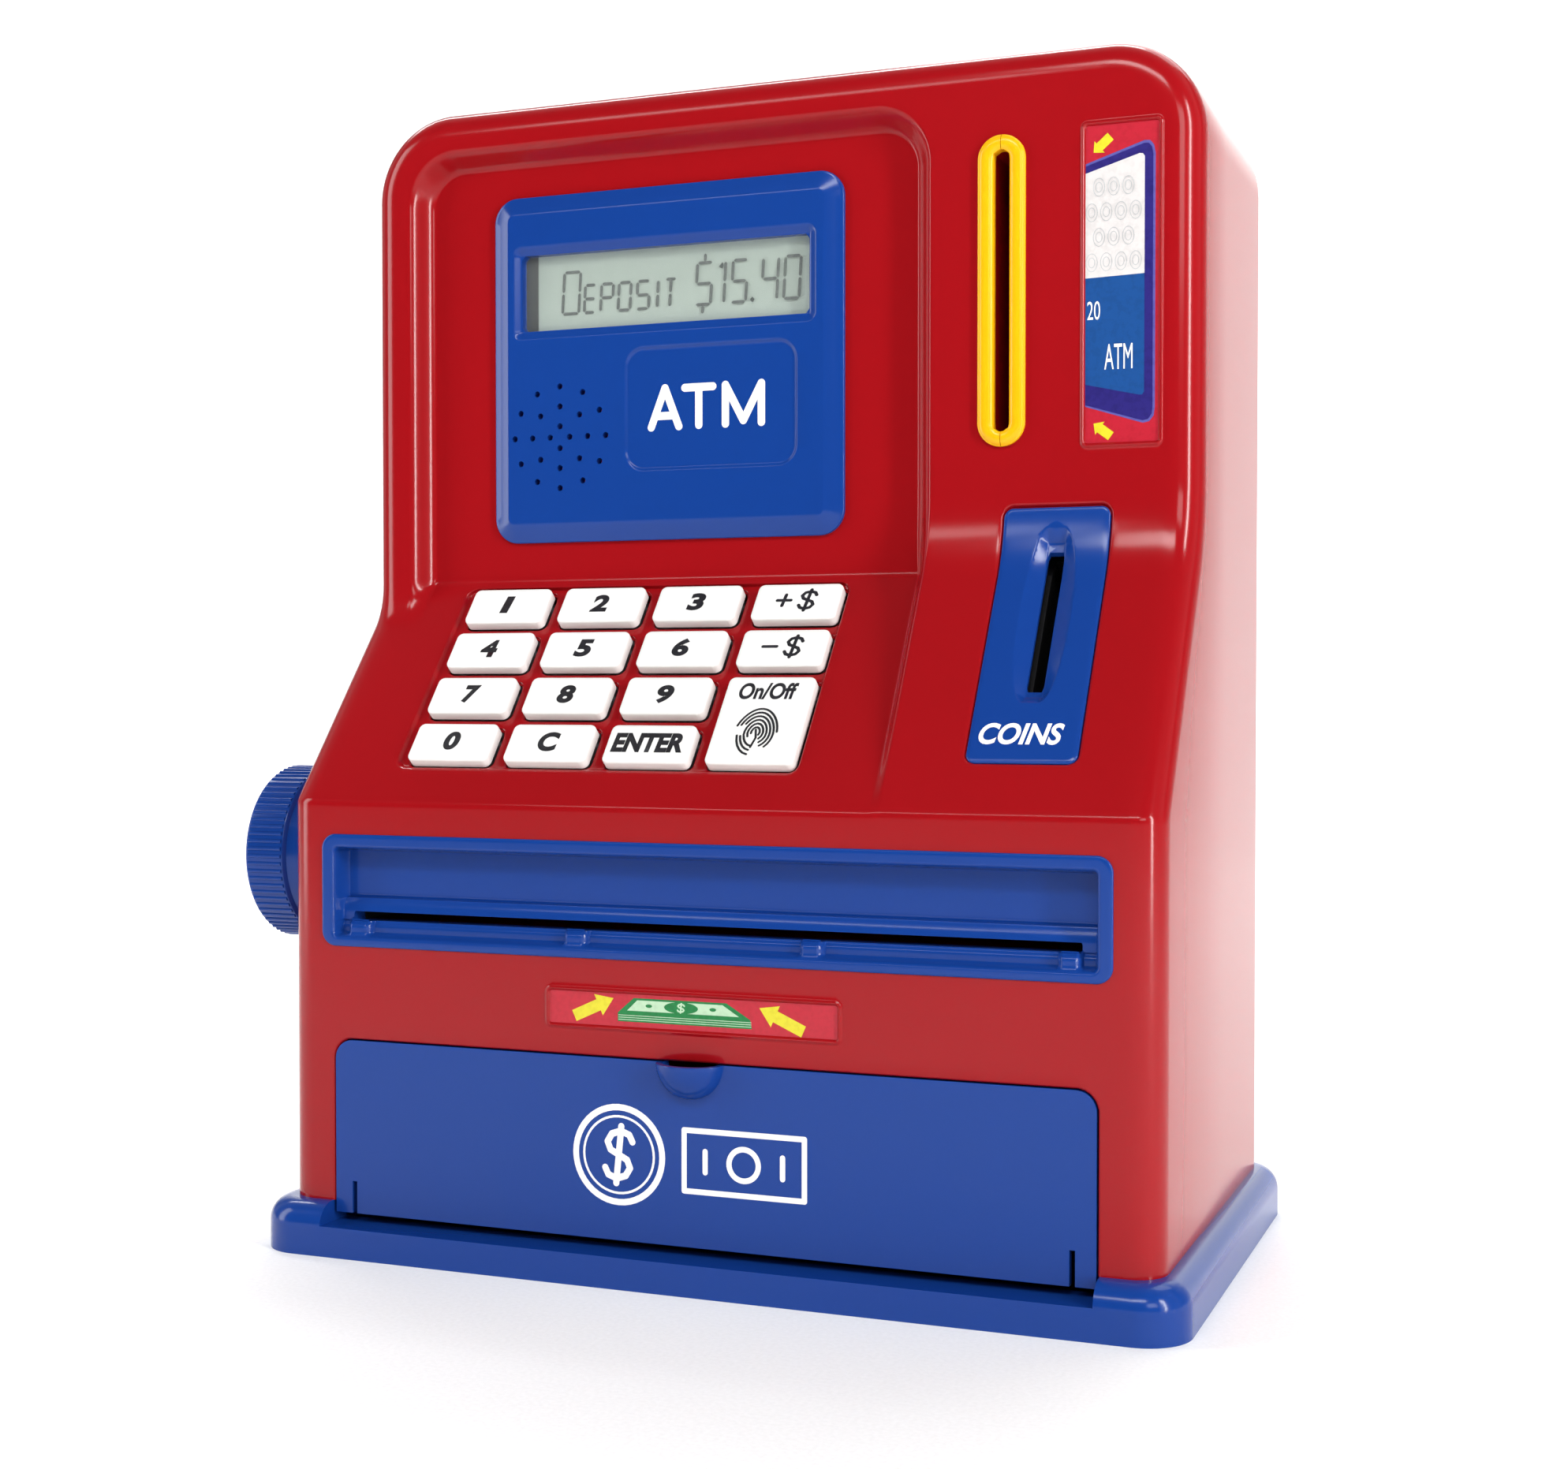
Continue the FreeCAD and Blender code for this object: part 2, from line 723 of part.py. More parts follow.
bowl_outer = bowl("bowl_outer", "pull_radius", "pull_depth")
BOWL_WALL = 1.6
bowl_inner = bowl("bowl_inner", f"pull_radius - {BOWL_WALL}", f"pull_depth - {BOWL_WALL}")
bowl_limit = box(
    "bowl_limit",
    ("-pull_radius", f"{FRONT} - pull_depth", "door_top - pull_radius"),
    ("pull_radius", f"{FRONT} + 1", "door_top"),
)
bowl_wall = common("bowl_wall", [bowl_outer, bowl_limit])
door_mass = fuse("door_mass", [door_plate, bowl_wall] + door_ears + door_pins)
door_slits = [
    box(f"door_slit_{name}", (low, f"{FRONT} - 1", "door_low - 1"), (high, f"{FRONT} + 20", "hinge_z + 3"))
    for name, low, high in (
        ("left", f"-door_half + {EAR_WIDTH}", f"-door_half + {EAR_WIDTH + SLIT_WIDTH}"),
        ("right", f"door_half - {EAR_WIDTH + SLIT_WIDTH}", f"door_half - {EAR_WIDTH}"),
    )
]
finished(cut("door_cut", door_mass, fuse("door_cutters", [bowl_inner] + door_slits)), "cash_door")

# Display group: the blue bezel, its lens, the display glass, the board behind, and the speaker.
DISPLAY_LEFT = "(display_x - display_width / 2)"
DISPLAY_RIGHT = "(display_x + display_width / 2)"
DISPLAY_HIGH = "(display_low + display_height)"
bezel_block = box(
    "bezel_block",
    (DISPLAY_LEFT, f"{RECESS} - display_proud", "display_low"),
    (DISPLAY_RIGHT, RECESS, DISPLAY_HIGH),
)
bezel_plate = rounded("bezel_plate", bezel_block, "display_radius", along_y)
spigot_outer = box(
    "spigot_outer",
    (f"{DISPLAY_LEFT} + 4", RECESS, "display_low + 4.2"),
    (f"{DISPLAY_RIGHT} - 4", f"{RECESS} + 3.5", f"{DISPLAY_HIGH} - 4.2"),
)
spigot_inner = box(
    "spigot_inner",
    (f"{DISPLAY_LEFT} + 6", RECESS, "display_low + 6.2"),
    (f"{DISPLAY_RIGHT} - 6", f"{RECESS} + 4", f"{DISPLAY_HIGH} - 6.2"),
)
LENS_LEFT = "(lens_x - lens_width / 2)"
LENS_RIGHT = "(lens_x + lens_width / 2)"
lens_window = box(
    "lens_window",
    (LENS_LEFT, f"{RECESS} - 10", "lens_low"),
    (LENS_RIGHT, f"{RECESS} + 1", "lens_low + lens_height"),
)
SOUND_RINGS = ((4, 3.0), (8, 8.5), (12, 14.0))
sound_holes = []
for count, ring_radius in SOUND_RINGS:
    for step in range(count):
        angle = 360 / count * step
        spot = (
            f"speaker_x + {ring_radius} * cos({angle})",
            f"{RECESS} - 10",
            f"speaker_z + {ring_radius} * sin({angle})",
        )
        sound_holes.append(rod(f"sound_hole_{count}_{step}", "Y", "sound_hole", spot, 12))
bezel_mass = fuse("bezel_mass", [bezel_plate, cut("spigot", spigot_outer, spigot_inner)])
bezel_cutters = fuse("bezel_cutters", [lens_window] + sound_holes)
finished(cut("display_bezel_cut", bezel_mass, bezel_cutters), "display_bezel")
finished(
    box(
        "lens_block",
        (f"{LENS_LEFT} - 2.5", RECESS, "lens_low - 2.5"),
        (f"{LENS_RIGHT} + 2.5", f"{RECESS} + 1.2", "lens_low + lens_height + 2.5"),
    ),
    "display_lens",
)
finished(
    box(
        "module_block",
        (f"{LENS_LEFT} - 2", f"{RECESS} + 1.2", "lens_low - 4"),
        (f"{LENS_RIGHT} + 2", f"{RECESS} + 6.4", "lens_low + lens_height + 4"),
    ),
    "display_module",
)
board_block = box("board_block", (-84, f"{RECESS} + 6.5", 242), (26.5, f"{RECESS} + 8.1", 281))
chip_block = box("chip_block", (-40, f"{RECESS} + 8.1", 252), (-20, f"{RECESS} + 9.6", 272))
board_holes = fuse(
    "board_holes",
    [rod(f"board_hole_{index}", "Y", 1.2, (x, -20, z), 20) for index, (x, z) in enumerate(BOARD_POSTS)],
)
finished(cut("main_board_cut", fuse("board_mass", [board_block, chip_block]), board_holes), "main_board")


def small_screw(name, x, z):
    """A small screw that holds the board on a post."""
    head = rod(name + "_head", "Y", 2, (x, f"{RECESS} + 8.1", z), 1.4)
    shank = rod(name + "_shank", "Y", 1, (x, f"{RECESS} + 1.6", z), 6.5)
    return fuse(name, [head, shank])


group(
    "board_screw_group",
    "board_screws",
    [small_screw(f"board_screw_{index}", x, z) for index, (x, z) in enumerate(BOARD_POSTS)],
)
speaker_body = fuse(
    "speaker_body",
    [
        rod("speaker_rim", "Y", "speaker_radius", ("speaker_x", f"{RECESS} + 3.6", "speaker_z"), 2.4),
        rod("speaker_basket", "Y", 14, ("speaker_x", f"{RECESS} + 6", "speaker_z"), 4),
        rod("speaker_magnet", "Y", 9, ("speaker_x", f"{RECESS} + 10", "speaker_z"), 5),
    ],
)
speaker_cone = rod("speaker_cone", "Y", 13, ("speaker_x", f"{RECESS} + 3.6", "speaker_z"), 1.4)
finished(cut("speaker_cut", speaker_body, speaker_cone), "speaker")
clamp_ring = fuse(
    "clamp_ring",
    [
        rod("clamp_disc", "Y", "speaker_radius + 1", ("speaker_x", f"{RECESS} + 6", "speaker_z"), 1.6),
        box(
            "clamp_bar",
            ("speaker_x - 3.5", f"{RECESS} + 6", "speaker_z - 25"),
            ("speaker_x + 3.5", f"{RECESS} + 7.6", "speaker_z + 18"),
        ),
    ],
)
clamp_hole = rod("clamp_hole", "Y", 14, ("speaker_x", RECESS, "speaker_z"), 12)
finished(cut("speaker_clamp_cut", clamp_ring, clamp_hole), "speaker_clamp")

# Keypad: fifteen white keys that slide in the sloping face, over a rubber mat and a board.
for key in KEY_NAMES:
    cap_block = key_block(f"cap_of_{key}", key, 0, "-key_proud", "wall + pad_sunk + 0.5")
    cap = rounded(f"rounded_{key}", cap_block, "key_radius", along_y)
    flange = key_block(f"flange_of_{key}", key, 1, "wall + pad_sunk + 0.5", "wall + pad_sunk + 1.7")
    finished(tilt(fuse(f"whole_{key}", [cap, flange]), "key_lean"), key)

MAT_TOP = "(wall + pad_sunk + 1.7 + key_travel + 0.2)"
mat_block = box(
    "mat_block",
    ("pad_left + 0.2", MAT_TOP, "pad_low"),
    ("pad_right + 0.5", f"{MAT_TOP} + 1", "pad_high"),
)
finished(tilt(mat_block, "key_lean"), "keypad_mat")
keypad_board_block = box(
    "keypad_board_block",
    ("pad_left - 7", f"{MAT_TOP} + 1", "pad_low + 1"),
    ("pad_right + 8", f"{MAT_TOP} + 2.6", "pad_high - 1"),
)
keypad_board_holes = fuse(
    "keypad_board_holes",
    [rod(f"keypad_hole_{index}", "Y", 2.8, (x, 0, up), 20) for index, (x, up) in enumerate(KEYPAD_POSTS)],
)
finished(
    tilt(cut("keypad_board_cut", keypad_board_block, keypad_board_holes), "key_lean"), "keypad_board"
)

# Coin group: the blue coin plate in the column, the chute behind it, the sensing lever and its switch.
coin_skin = cut("coin_skin", column_bent, column_cavity)
coin_outline_block = box(
    "coin_outline_block",
    ("coin_x - coin_width / 2", -20, "coin_low"),
    ("coin_x + coin_width / 2", "wall + 4", "coin_high"),
)
coin_outline = tilt(rounded("coin_outline", coin_outline_block, 2.4, along_y), "column_lean")
coin_mass = common("coin_mass", [coin_skin, coin_outline])
coin_slot = tilt(
    box(
        "coin_slot",
        ("coin_x - coin_slot_width / 2", -20, "coin_slot_low"),
        ("coin_x + coin_slot_width / 2", 20, "coin_slot_high"),
    ),
    "column_lean",
)
finished(cut("coin_plate_cut", coin_mass, coin_slot), "coin_plate")
CHUTE_SIDE = [(-43, 144), (-21.6, 178), (-14, 184), (22, 166), (22, 92), (-6, 92), (-6, 126)]
CHUTE_PATH = [(-50, 140.5), (-24, 186), (-14.5, 180.5), (19.5, 164.5), (19.5, 91), (-3.5, 91), (-3.5, 128)]
chute_outer = prism("chute_outer", CHUTE_SIDE, "coin_x - 4", "coin_x + 4")
chute_inner = prism("chute_inner", CHUTE_PATH, "coin_x - 2.1", "coin_x + 2.1")
chute_window = box("chute_window", ("coin_x + 2", 4, 118), ("coin_x + 5", 14, 133))
SKIN_DEPTH = "(wall + 0.2) / cos(column_lean)"
chute_skin = prism(
    "chute_skin",
    [
        ("-90", "plinth_height"),
        (f"{FRONT} + wall", "plinth_height"),
        (f"{FRONT} + wall", slope_z(f"wall - {SKIN_DEPTH}", "column_lean")),
        ("face_y + wall", slope_z(f"face_y + wall - ({FRONT}) - {SKIN_DEPTH}", "column_lean")),
        ("face_y + wall", "body_top"),
        ("-90", "body_top"),
    ],
    "coin_x - 5",
    "coin_x + 5",
)
finished(
    cut("coin_chute_cut", chute_outer, fuse("chute_cutters", [chute_inner, chute_window, chute_skin])),
    "coin_chute",
)
LEVER_Y, LEVER_Z = 9, 146
lever_pin = rod("lever_pin", "X", 1.5, ("coin_x + 4.4", LEVER_Y, LEVER_Z), 4.2)
lever_arm = box(
    "lever_arm",
    ("coin_x + 4.6", LEVER_Y - 1.5, LEVER_Z - 22),
    ("coin_x + 6.6", LEVER_Y + 1.5, LEVER_Z + 3),
)
lever_finger = rod("lever_finger", "X", 1, ("coin_x - 1", LEVER_Y, LEVER_Z - 21), 7)
finished(fuse("coin_lever_fuse", [lever_pin, lever_arm, lever_finger]), "coin_lever")
switch_bracket = box("switch_bracket", ("coin_x + 9.2", -2, 140), ("coin_x + 11.2", 22, 158))
switch_body = box("switch_body", ("coin_x + 4.3", 15, 148), ("coin_x + 9.2", 21, 158))
switch_bearing = rod("switch_bearing", "X", 3, ("coin_x + 7.1", LEVER_Y, LEVER_Z), 2.1)
switch_bore = rod("switch_bore", "X", 1.55, ("coin_x + 5", LEVER_Y, LEVER_Z), 4)
switch_strut = box("switch_strut", ("coin_x + 4", 17, 158), ("coin_x + 11.2", 21, 161))
switch_mass = fuse("switch_mass", [switch_bracket, switch_body, switch_bearing, switch_strut])
finished(cut("coin_switch_cut", switch_mass, switch_bore), "coin_switch")

# Card group: two yellow guide halves that make the slot, and a lever and switch at its end.
card_flange_block = box(
    "card_flange_block",
    ("card_x - card_width / 2", "face_y - 1.6", "card_low"),
    ("card_x + card_width / 2", "face_y", "card_high"),
)
card_flange = rounded("card_flange", card_flange_block, "card_width / 2 - 0.1", along_y)
card_channel = box(
    "card_channel",
    ("card_x - card_gap / 2 - 1.5", "face_y", "card_low + 2.1"),
    ("card_x + card_gap / 2 + 1.5", "face_y + card_deep", "card_high - 2.1"),
)
card_opening_block = box(
    "card_opening_block",
    ("card_x - card_gap / 2", "face_y - 10", "card_low + 3.4"),
    ("card_x + card_gap / 2", "face_y + card_deep + 1", "card_high - 3.4"),
)
card_body = cut("card_body", fuse("card_mass", [card_flange, card_channel]), card_opening_block)
for side, low, high in (("left", "card_x - 20", "card_x"), ("right", "card_x", "card_x + 20")):
    half = box(f"card_half_{side}", (low, -60, 150), (high, 60, 320))
    finished(common(f"card_guide_{side}_common", [card_body, half]), f"card_guide_{side}")
CARD_LEVER_Y, CARD_LEVER_Z = 26, 262
card_arm = box(
    "card_arm",
    ("card_x - 1.5", CARD_LEVER_Y - 1.5, CARD_LEVER_Z - 16),
    ("card_x + 1.5", CARD_LEVER_Y + 1.5, CARD_LEVER_Z + 3),
)
card_pin = rod("card_pin", "X", 1.5, ("card_x - 6", CARD_LEVER_Y, CARD_LEVER_Z), 12)
finished(fuse("card_lever_fuse", [card_arm, card_pin]), "card_lever")
card_cheeks = [
    box(f"card_cheek_{name}", (low, "face_y + card_deep", 252), (high, CARD_LEVER_Y + 5, 268))
    for name, low, high in (
        ("left", "card_x - 6.2", "card_x - 2.2"),
        ("right", "card_x + 2.2", "card_x + 6.2"),
    )
]
card_bridge = box(
    "card_bridge", ("card_x - 6.2", CARD_LEVER_Y + 5, 252), ("card_x + 6.2", CARD_LEVER_Y + 9, 274)
)
card_bore = rod("card_bore", "X", 1.55, ("card_x - 7", CARD_LEVER_Y, CARD_LEVER_Z), 14)
card_switch_mass = fuse("card_switch_mass", card_cheeks + [card_bridge])
finished(cut("card_switch_cut", card_switch_mass, card_bore), "card_switch")

# Note feeder: the blue bezel with its slot, a guide tray, side brackets, a knob-driven shaft and a pinch shaft.
note_flange_block = box(
    "note_flange_block",
    ("-note_half", f"{FRONT} - note_proud", "note_low"),
    ("note_half", FRONT, "note_high"),
)
note_flange = rounded("note_flange", note_flange_block, 3, along_y)
note_tub = box(
    "note_tub",
    ("-note_half + 1.8", FRONT, "note_low + 1.8"),
    ("note_half - 1.8", f"{FRONT} + 8", "note_high - 1.8"),
)
note_dish = box(
    "note_dish",
    ("-note_half + 3.2", f"{FRONT} - 5", "note_low + 2.7"),
    ("note_half - 3.2", f"{FRONT} + 6", "note_high - 3.7"),
)
note_bar = box(
    "note_bar",
    ("-note_half + 3.2", f"{FRONT} + 2.2", "note_low + 2.7"),
    ("note_half - 3.2", f"{FRONT} + 6", "note_slot_low"),
)
TAB_PLACES = (-96, -32.3, 31.7, 96)
note_tabs = [
    box(
        f"note_tab_{index}",
        (x - 3.4, f"{FRONT} + 0.6", "note_low + 2.7"),
        (x + 3.4, f"{FRONT} + 3", "note_slot_low + 0.4"),
    )
    for index, x in enumerate(TAB_PLACES)
]
note_slot = box(
    "note_slot",
    ("-note_slot_half", f"{FRONT} - 1", "note_slot_low"),
    ("note_slot_half", f"{FRONT} + 9", "note_slot_high"),
)
note_tub_open = cut("note_tub_open", fuse("note_mass", [note_flange, note_tub]), note_dish)
note_full = fuse("note_full", [note_tub_open, note_bar])
finished(fuse("note_bezel_fuse", [cut("note_slotted", note_full, note_slot)] + note_tabs), "note_bezel")
tray_block = box(
    "tray_block",
    ("-note_slot_half", f"{FRONT} + 8", "note_slot_low - 1.6"),
    ("note_slot_half", "feed_y + 16", "note_slot_low"),
)
tray_windows = [
    box(
        f"tray_window_{index}",
        (f"{side} * feed_x - feed_width / 2 - 1", "feed_y - pinch_radius - 1", 60),
        (f"{side} * feed_x + feed_width / 2 + 1", "feed_y + pinch_radius + 1", 100),
    )
    for index, side in enumerate((-1, 1))
]
finished(cut("note_tray_cut", tray_block, fuse("tray_windows", tray_windows)), "note_tray")
BRACKETS = (
    ("left", "-note_slot_half - 4", "-note_slot_half"),
    ("right", "note_slot_half", "note_slot_half + 4"),
)
for side, low, high in BRACKETS:
    plate = box(
        f"bracket_plate_{side}", (low, f"{FRONT} + 8", "pinch_z - 6"), (high, "feed_y + 16", "feed_z + 10")
    )
    holes = fuse(
        f"bracket_holes_{side}",
        [
            rod(f"bush_seat_{side}", "X", "shaft_radius + 2", (low, "feed_y", "feed_z"), 4),
            rod(f"pinch_seat_{side}", "X", "pinch_shaft + 0.05", (low, "feed_y", "pinch_z"), 4),
        ],
    )
    finished(cut(f"feed_bracket_{side}_cut", plate, holes), f"feed_bracket_{side}")
bushes = []
for side, low, high in BRACKETS:
    sleeve = rod(f"bush_sleeve_{side}", "X", "shaft_radius + 2", (low, "feed_y", "feed_z"), 4)
    bore = rod(f"bush_bore_{side}", "X", "shaft_radius + 0.05", (low, "feed_y", "feed_z"), 4)
    bushes.append(cut(f"bush_{side}", sleeve, bore))
group("bush_group", "feed_bushes", bushes)
feed_rod = rod(
    "feed_rod", "X", "shaft_radius", ("-knob_out + 4", "feed_y", "feed_z"), "note_slot_half + knob_out + 1"
)
finished(feed_rod, "feed_shaft")
pinch_rod = rod(
    "pinch_rod", "X", "pinch_shaft", ("-note_slot_half - 4", "feed_y", "pinch_z"), "2 * note_slot_half + 8"
)
finished(pinch_rod, "pinch_shaft_rod")


def roller(name, side, radius, hub, height):
    """A rubber roller on a shaft."""
    start = f"{side} * feed_x - feed_width / 2"
    tyre = rod(name + "_tyre", "X", radius, (start, "feed_y", height), "feed_width")
    hole = rod(name + "_hole", "X", hub, (start, "feed_y", height), "feed_width")
    return cut(name, tyre, hole)


SIDES = (("left", -1), ("right", 1))
group(
    "feed_roller_group",
    "feed_rollers",
    [roller(f"feed_roller_{name}", side, "feed_radius", "shaft_radius", "feed_z") for name, side in SIDES],
)
group(
    "pinch_roller_group",
    "pinch_rollers",
    [roller(f"pinch_roller_{name}", side, "pinch_radius", "pinch_shaft", "pinch_z") for name, side in SIDES],
)

# Knob: the blue ribbed hand knob on the end of the feed shaft, held by a screw.
DISC_WIDTH = 12.5
NECK_WIDTH = 6.7
DISH_DEPTH = 2.5
knob_disc = rod("knob_disc", "X", "knob_radius", ("-knob_out", "feed_y", "feed_z"), DISC_WIDTH)
knob_neck = rod(
    "knob_neck", "X", "knob_radius - 1.2", (f"-knob_out + {DISC_WIDTH}", "feed_y", "feed_z"), NECK_WIDTH
)
knob_dish = rod("knob_dish", "X", "knob_radius - 4", ("-knob_out", "feed_y", "feed_z"), DISH_DEPTH)
knob_hollow_outer = rod(
    "knob_hollow_outer", "X", "knob_radius - 3.6", ("-knob_out + 5", "feed_y", "feed_z"), 20
)
knob_hub = rod("knob_hub", "X", 6, ("-knob_out", "feed_y", "feed_z"), DISC_WIDTH + NECK_WIDTH)
knob_bore = rod("knob_bore", "X", "shaft_radius", ("-knob_out + 4", "feed_y", "feed_z"), 20)
knob_screw_bore = rod("knob_screw_bore", "X", "screw_radius", ("-knob_out", "feed_y", "feed_z"), 5)
knob_mass = fuse("knob_mass", [knob_disc, knob_neck])
knob_rim = cut("knob_rim", knob_mass, fuse("knob_hollows", [knob_dish, knob_hollow_outer]))
knob_whole = fuse("knob_whole", [knob_rim, knob_hub])
finished(cut("knob_cut", knob_whole, fuse("knob_bores", [knob_bore, knob_screw_bore])), "knob")
knob_screw_head = rod("knob_screw_head", "X", 3, ("-knob_out - 1.8", "feed_y", "feed_z"), 1.8)
knob_screw_shank = rod("knob_screw_shank", "X", "screw_radius", ("-knob_out", "feed_y", "feed_z"), 4)
finished(fuse("knob_screw_fuse", [knob_screw_head, knob_screw_shank]), "knob_screw")

# Battery bay: a tray in the back wall with three cells, their contacts and a screwed lid.
BAY_BACK = f"({BACK} - wall)"
bay_outer = box(
    "bay_outer",
    ("-bay_half + 0.2", f"{BAY_BACK} - bay_depth", "bay_low + 0.2"),
    ("bay_half - 0.2", BAY_BACK, "bay_high - 0.2"),
)
bay_flange = box(
    "bay_flange",
    ("-bay_half - 3", f"{BAY_BACK} - 1.6", "bay_low - 3"),
    ("bay_half + 3", BAY_BACK, "bay_high + 3"),
)
bay_room = box(
    "bay_room",
    ("-bay_half + 1.8", f"{BAY_BACK} - bay_depth + 1.6", "bay_low + 8"),
    ("bay_half - 1.8", f"{BACK}", "bay_high - 1.8"),
)
lid_bore = rod("lid_bore", "Y", "screw_radius", (0, f"{BAY_BACK} - 10", "bay_low + 4"), 12)
bay_mass = fuse("bay_mass", [bay_outer, bay_flange])
finished(cut("battery_tray_cut", bay_mass, fuse("bay_cutters", [bay_room, lid_bore])), "battery_tray")
CELL_LOW = "(bay_low + 10)"
CELL_Y = f"({BAY_BACK} - bay_depth / 2 + 0.6)"
cells = []
contacts = []
for index, step in enumerate((-1, 0, 1)):
    cell_x = f"{step} * battery_pitch"
    can = rod(f"cell_can_{index}", "Z", "battery_radius", (cell_x, CELL_Y, CELL_LOW), "battery_length - 1.2")
    cap = rod(f"cell_cap_{index}", "Z", 2.6, (cell_x, CELL_Y, f"{CELL_LOW} + battery_length - 1.2"), 1.2)
    cells.append(fuse(f"cell_{index}", [can, cap]))
    for end, level in (("low", f"{CELL_LOW} - 2"), ("high", f"{CELL_LOW} + battery_length")):
        low = (f"{cell_x} - 5", f"{CELL_Y} - 5", level)
        high = (f"{cell_x} + 5", f"{CELL_Y} + 5", f"{level} + 0.6")
        contacts.append(box(f"contact_{end}_{index}", low, high))
        if end == "low":
            contacts.append(rod(f"contact_spring_{index}", "Z", 3.2, (cell_x, CELL_Y, f"{level} + 0.6"), 1.4))
group("cell_group", "batteries", cells)
group("contact_group", "battery_contacts", contacts)
lid_plate = box(
    "lid_plate",
    ("-bay_half + 0.3", f"{BAY_BACK} + 0.1", "bay_low + 0.3"),
    ("bay_half - 0.3", BACK, "bay_high - 0.3"),
)
lid_hole = rod("lid_hole", "Y", "screw_radius + 0.2", (0, BAY_BACK, "bay_low + 4"), 5)
lid_well = rod("lid_well", "Y", 3.1, (0, f"{BACK} - 1.2", "bay_low + 4"), 5)
finished(cut("battery_door_cut", lid_plate, fuse("lid_cutters", [lid_hole, lid_well])), "battery_door")
lid_screw_head = rod("lid_screw_head", "Y", 2.8, (0, f"{BACK} - 1.2", "bay_low + 4"), 1.2)
lid_screw_shank = rod("lid_screw_shank", "Y", "screw_radius - 0.1", (0, f"{BACK} - 8.2", "bay_low + 4"), 7)
finished(fuse("battery_screw_fuse", [lid_screw_head, lid_screw_shank]), "battery_screw")

# Stickers: the card picture beside its slot and the note picture under its slot.
finished(
    box(
        "card_label_block",
        ("card_label_x - card_label_width / 2 + 1.3", "face_y + 0.25", "card_label_low + 1.3"),
        ("card_label_x + card_label_width / 2 - 1.3", "face_y + 0.5", "card_label_high - 1.3"),
    ),
    "card_label",
)
finished(
    box(
        "note_label_block",
        ("-note_label_half + 1.3", f"{FRONT} + 0.25", "note_label_low + 1.3"),
        ("note_label_half - 1.3", f"{FRONT} + 0.5", "note_label_high - 1.3"),
    ),
    "note_label",
)

doc.recompute()
broken = [thing.Label for thing in doc.Objects if {"Invalid", "Error"} & set(thing.State)]
if broken:
    raise RuntimeError("these objects failed: " + ", ".join(broken))
for part in PARTS:
    if part.Shape.isNull() or not part.Shape.isValid():
        raise RuntimeError("this sub-part has no sound shape: " + part.Label)

os.makedirs("parts", exist_ok=True)
for part in PARTS:
    part.Shape.exportStep(os.path.join("parts", part.Label + ".step"))
    print(f"{part.Label:20s} {part.Shape.Volume:10.0f} mm3  {len(part.Shape.Solids)} solids")
print(len(PARTS), "sub-parts")
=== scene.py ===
import math
import bmesh
import bpy
import numpy as np
from mathutils import Matrix, Vector


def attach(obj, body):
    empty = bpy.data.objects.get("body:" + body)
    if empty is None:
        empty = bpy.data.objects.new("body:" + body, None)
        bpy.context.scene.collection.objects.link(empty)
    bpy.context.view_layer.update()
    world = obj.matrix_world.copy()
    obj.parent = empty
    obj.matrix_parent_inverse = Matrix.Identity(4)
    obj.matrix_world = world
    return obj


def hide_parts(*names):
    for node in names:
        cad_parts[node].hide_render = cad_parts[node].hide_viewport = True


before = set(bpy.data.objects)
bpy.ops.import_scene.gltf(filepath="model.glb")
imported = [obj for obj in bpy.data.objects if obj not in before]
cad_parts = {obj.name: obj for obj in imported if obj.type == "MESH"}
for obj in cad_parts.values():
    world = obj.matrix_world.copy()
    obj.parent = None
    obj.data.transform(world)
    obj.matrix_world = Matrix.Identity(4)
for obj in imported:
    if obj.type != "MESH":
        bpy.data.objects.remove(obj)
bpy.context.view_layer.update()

# The studio: a camera a little to the right of the front, a pale paper sweep, a wide soft lamp on each side,
# one overhead, and a surround that is bright behind and beside the toy and dimmer in front of it.
MM = 0.001


def linear(code):
    """An sRGB hex colour as the linear RGBA that a shader takes."""
    channels = [int(code[at : at + 2], 16) / 255 for at in (1, 3, 5)]
    return [c / 12.92 if c <= 0.04045 else ((c + 0.055) / 1.055) ** 2.4 for c in channels] + [1.0]


def add_node(tree, kind, inputs=None, stops=(), **settings):
    """Adds a node. Settings are its own properties, and stops a ramp's (position, hex colour) pairs; an input is a
    value, or the output to link to it."""
    made = tree.nodes.new(kind)
    for name, value in settings.items():
        setattr(made, name, value)
    for name, value in (inputs or {}).items():
        if isinstance(value, bpy.types.NodeSocket):
            tree.links.new(value, made.inputs[name])
        else:
            made.inputs[name].default_value = value
    for place, (position, colour) in enumerate(stops):
        stop = made.color_ramp.elements[place] if place < 2 else made.color_ramp.elements.new(position)
        stop.position, stop.color = position, linear(colour)
    return made


def new_material(name):
    """An empty material: its node tree, its object coordinates, and a function that closes it with its shader."""
    material = bpy.data.materials.new(name)
    material.use_nodes = True
    tree = material.node_tree
    tree.nodes.clear()
    spot = add_node(tree, "ShaderNodeTexCoord").outputs["Object"]

    def close(inputs):
        shader = add_node(tree, "ShaderNodeBsdfPrincipled", inputs)
        add_node(tree, "ShaderNodeOutputMaterial", {"Surface": shader.outputs[0]})
        return material

    return tree, spot, close


def placed(name, data):
    """A new object that holds this data, in the scene."""
    piece = bpy.data.objects.new(name, data)
    bpy.context.scene.collection.objects.link(piece)
    return piece


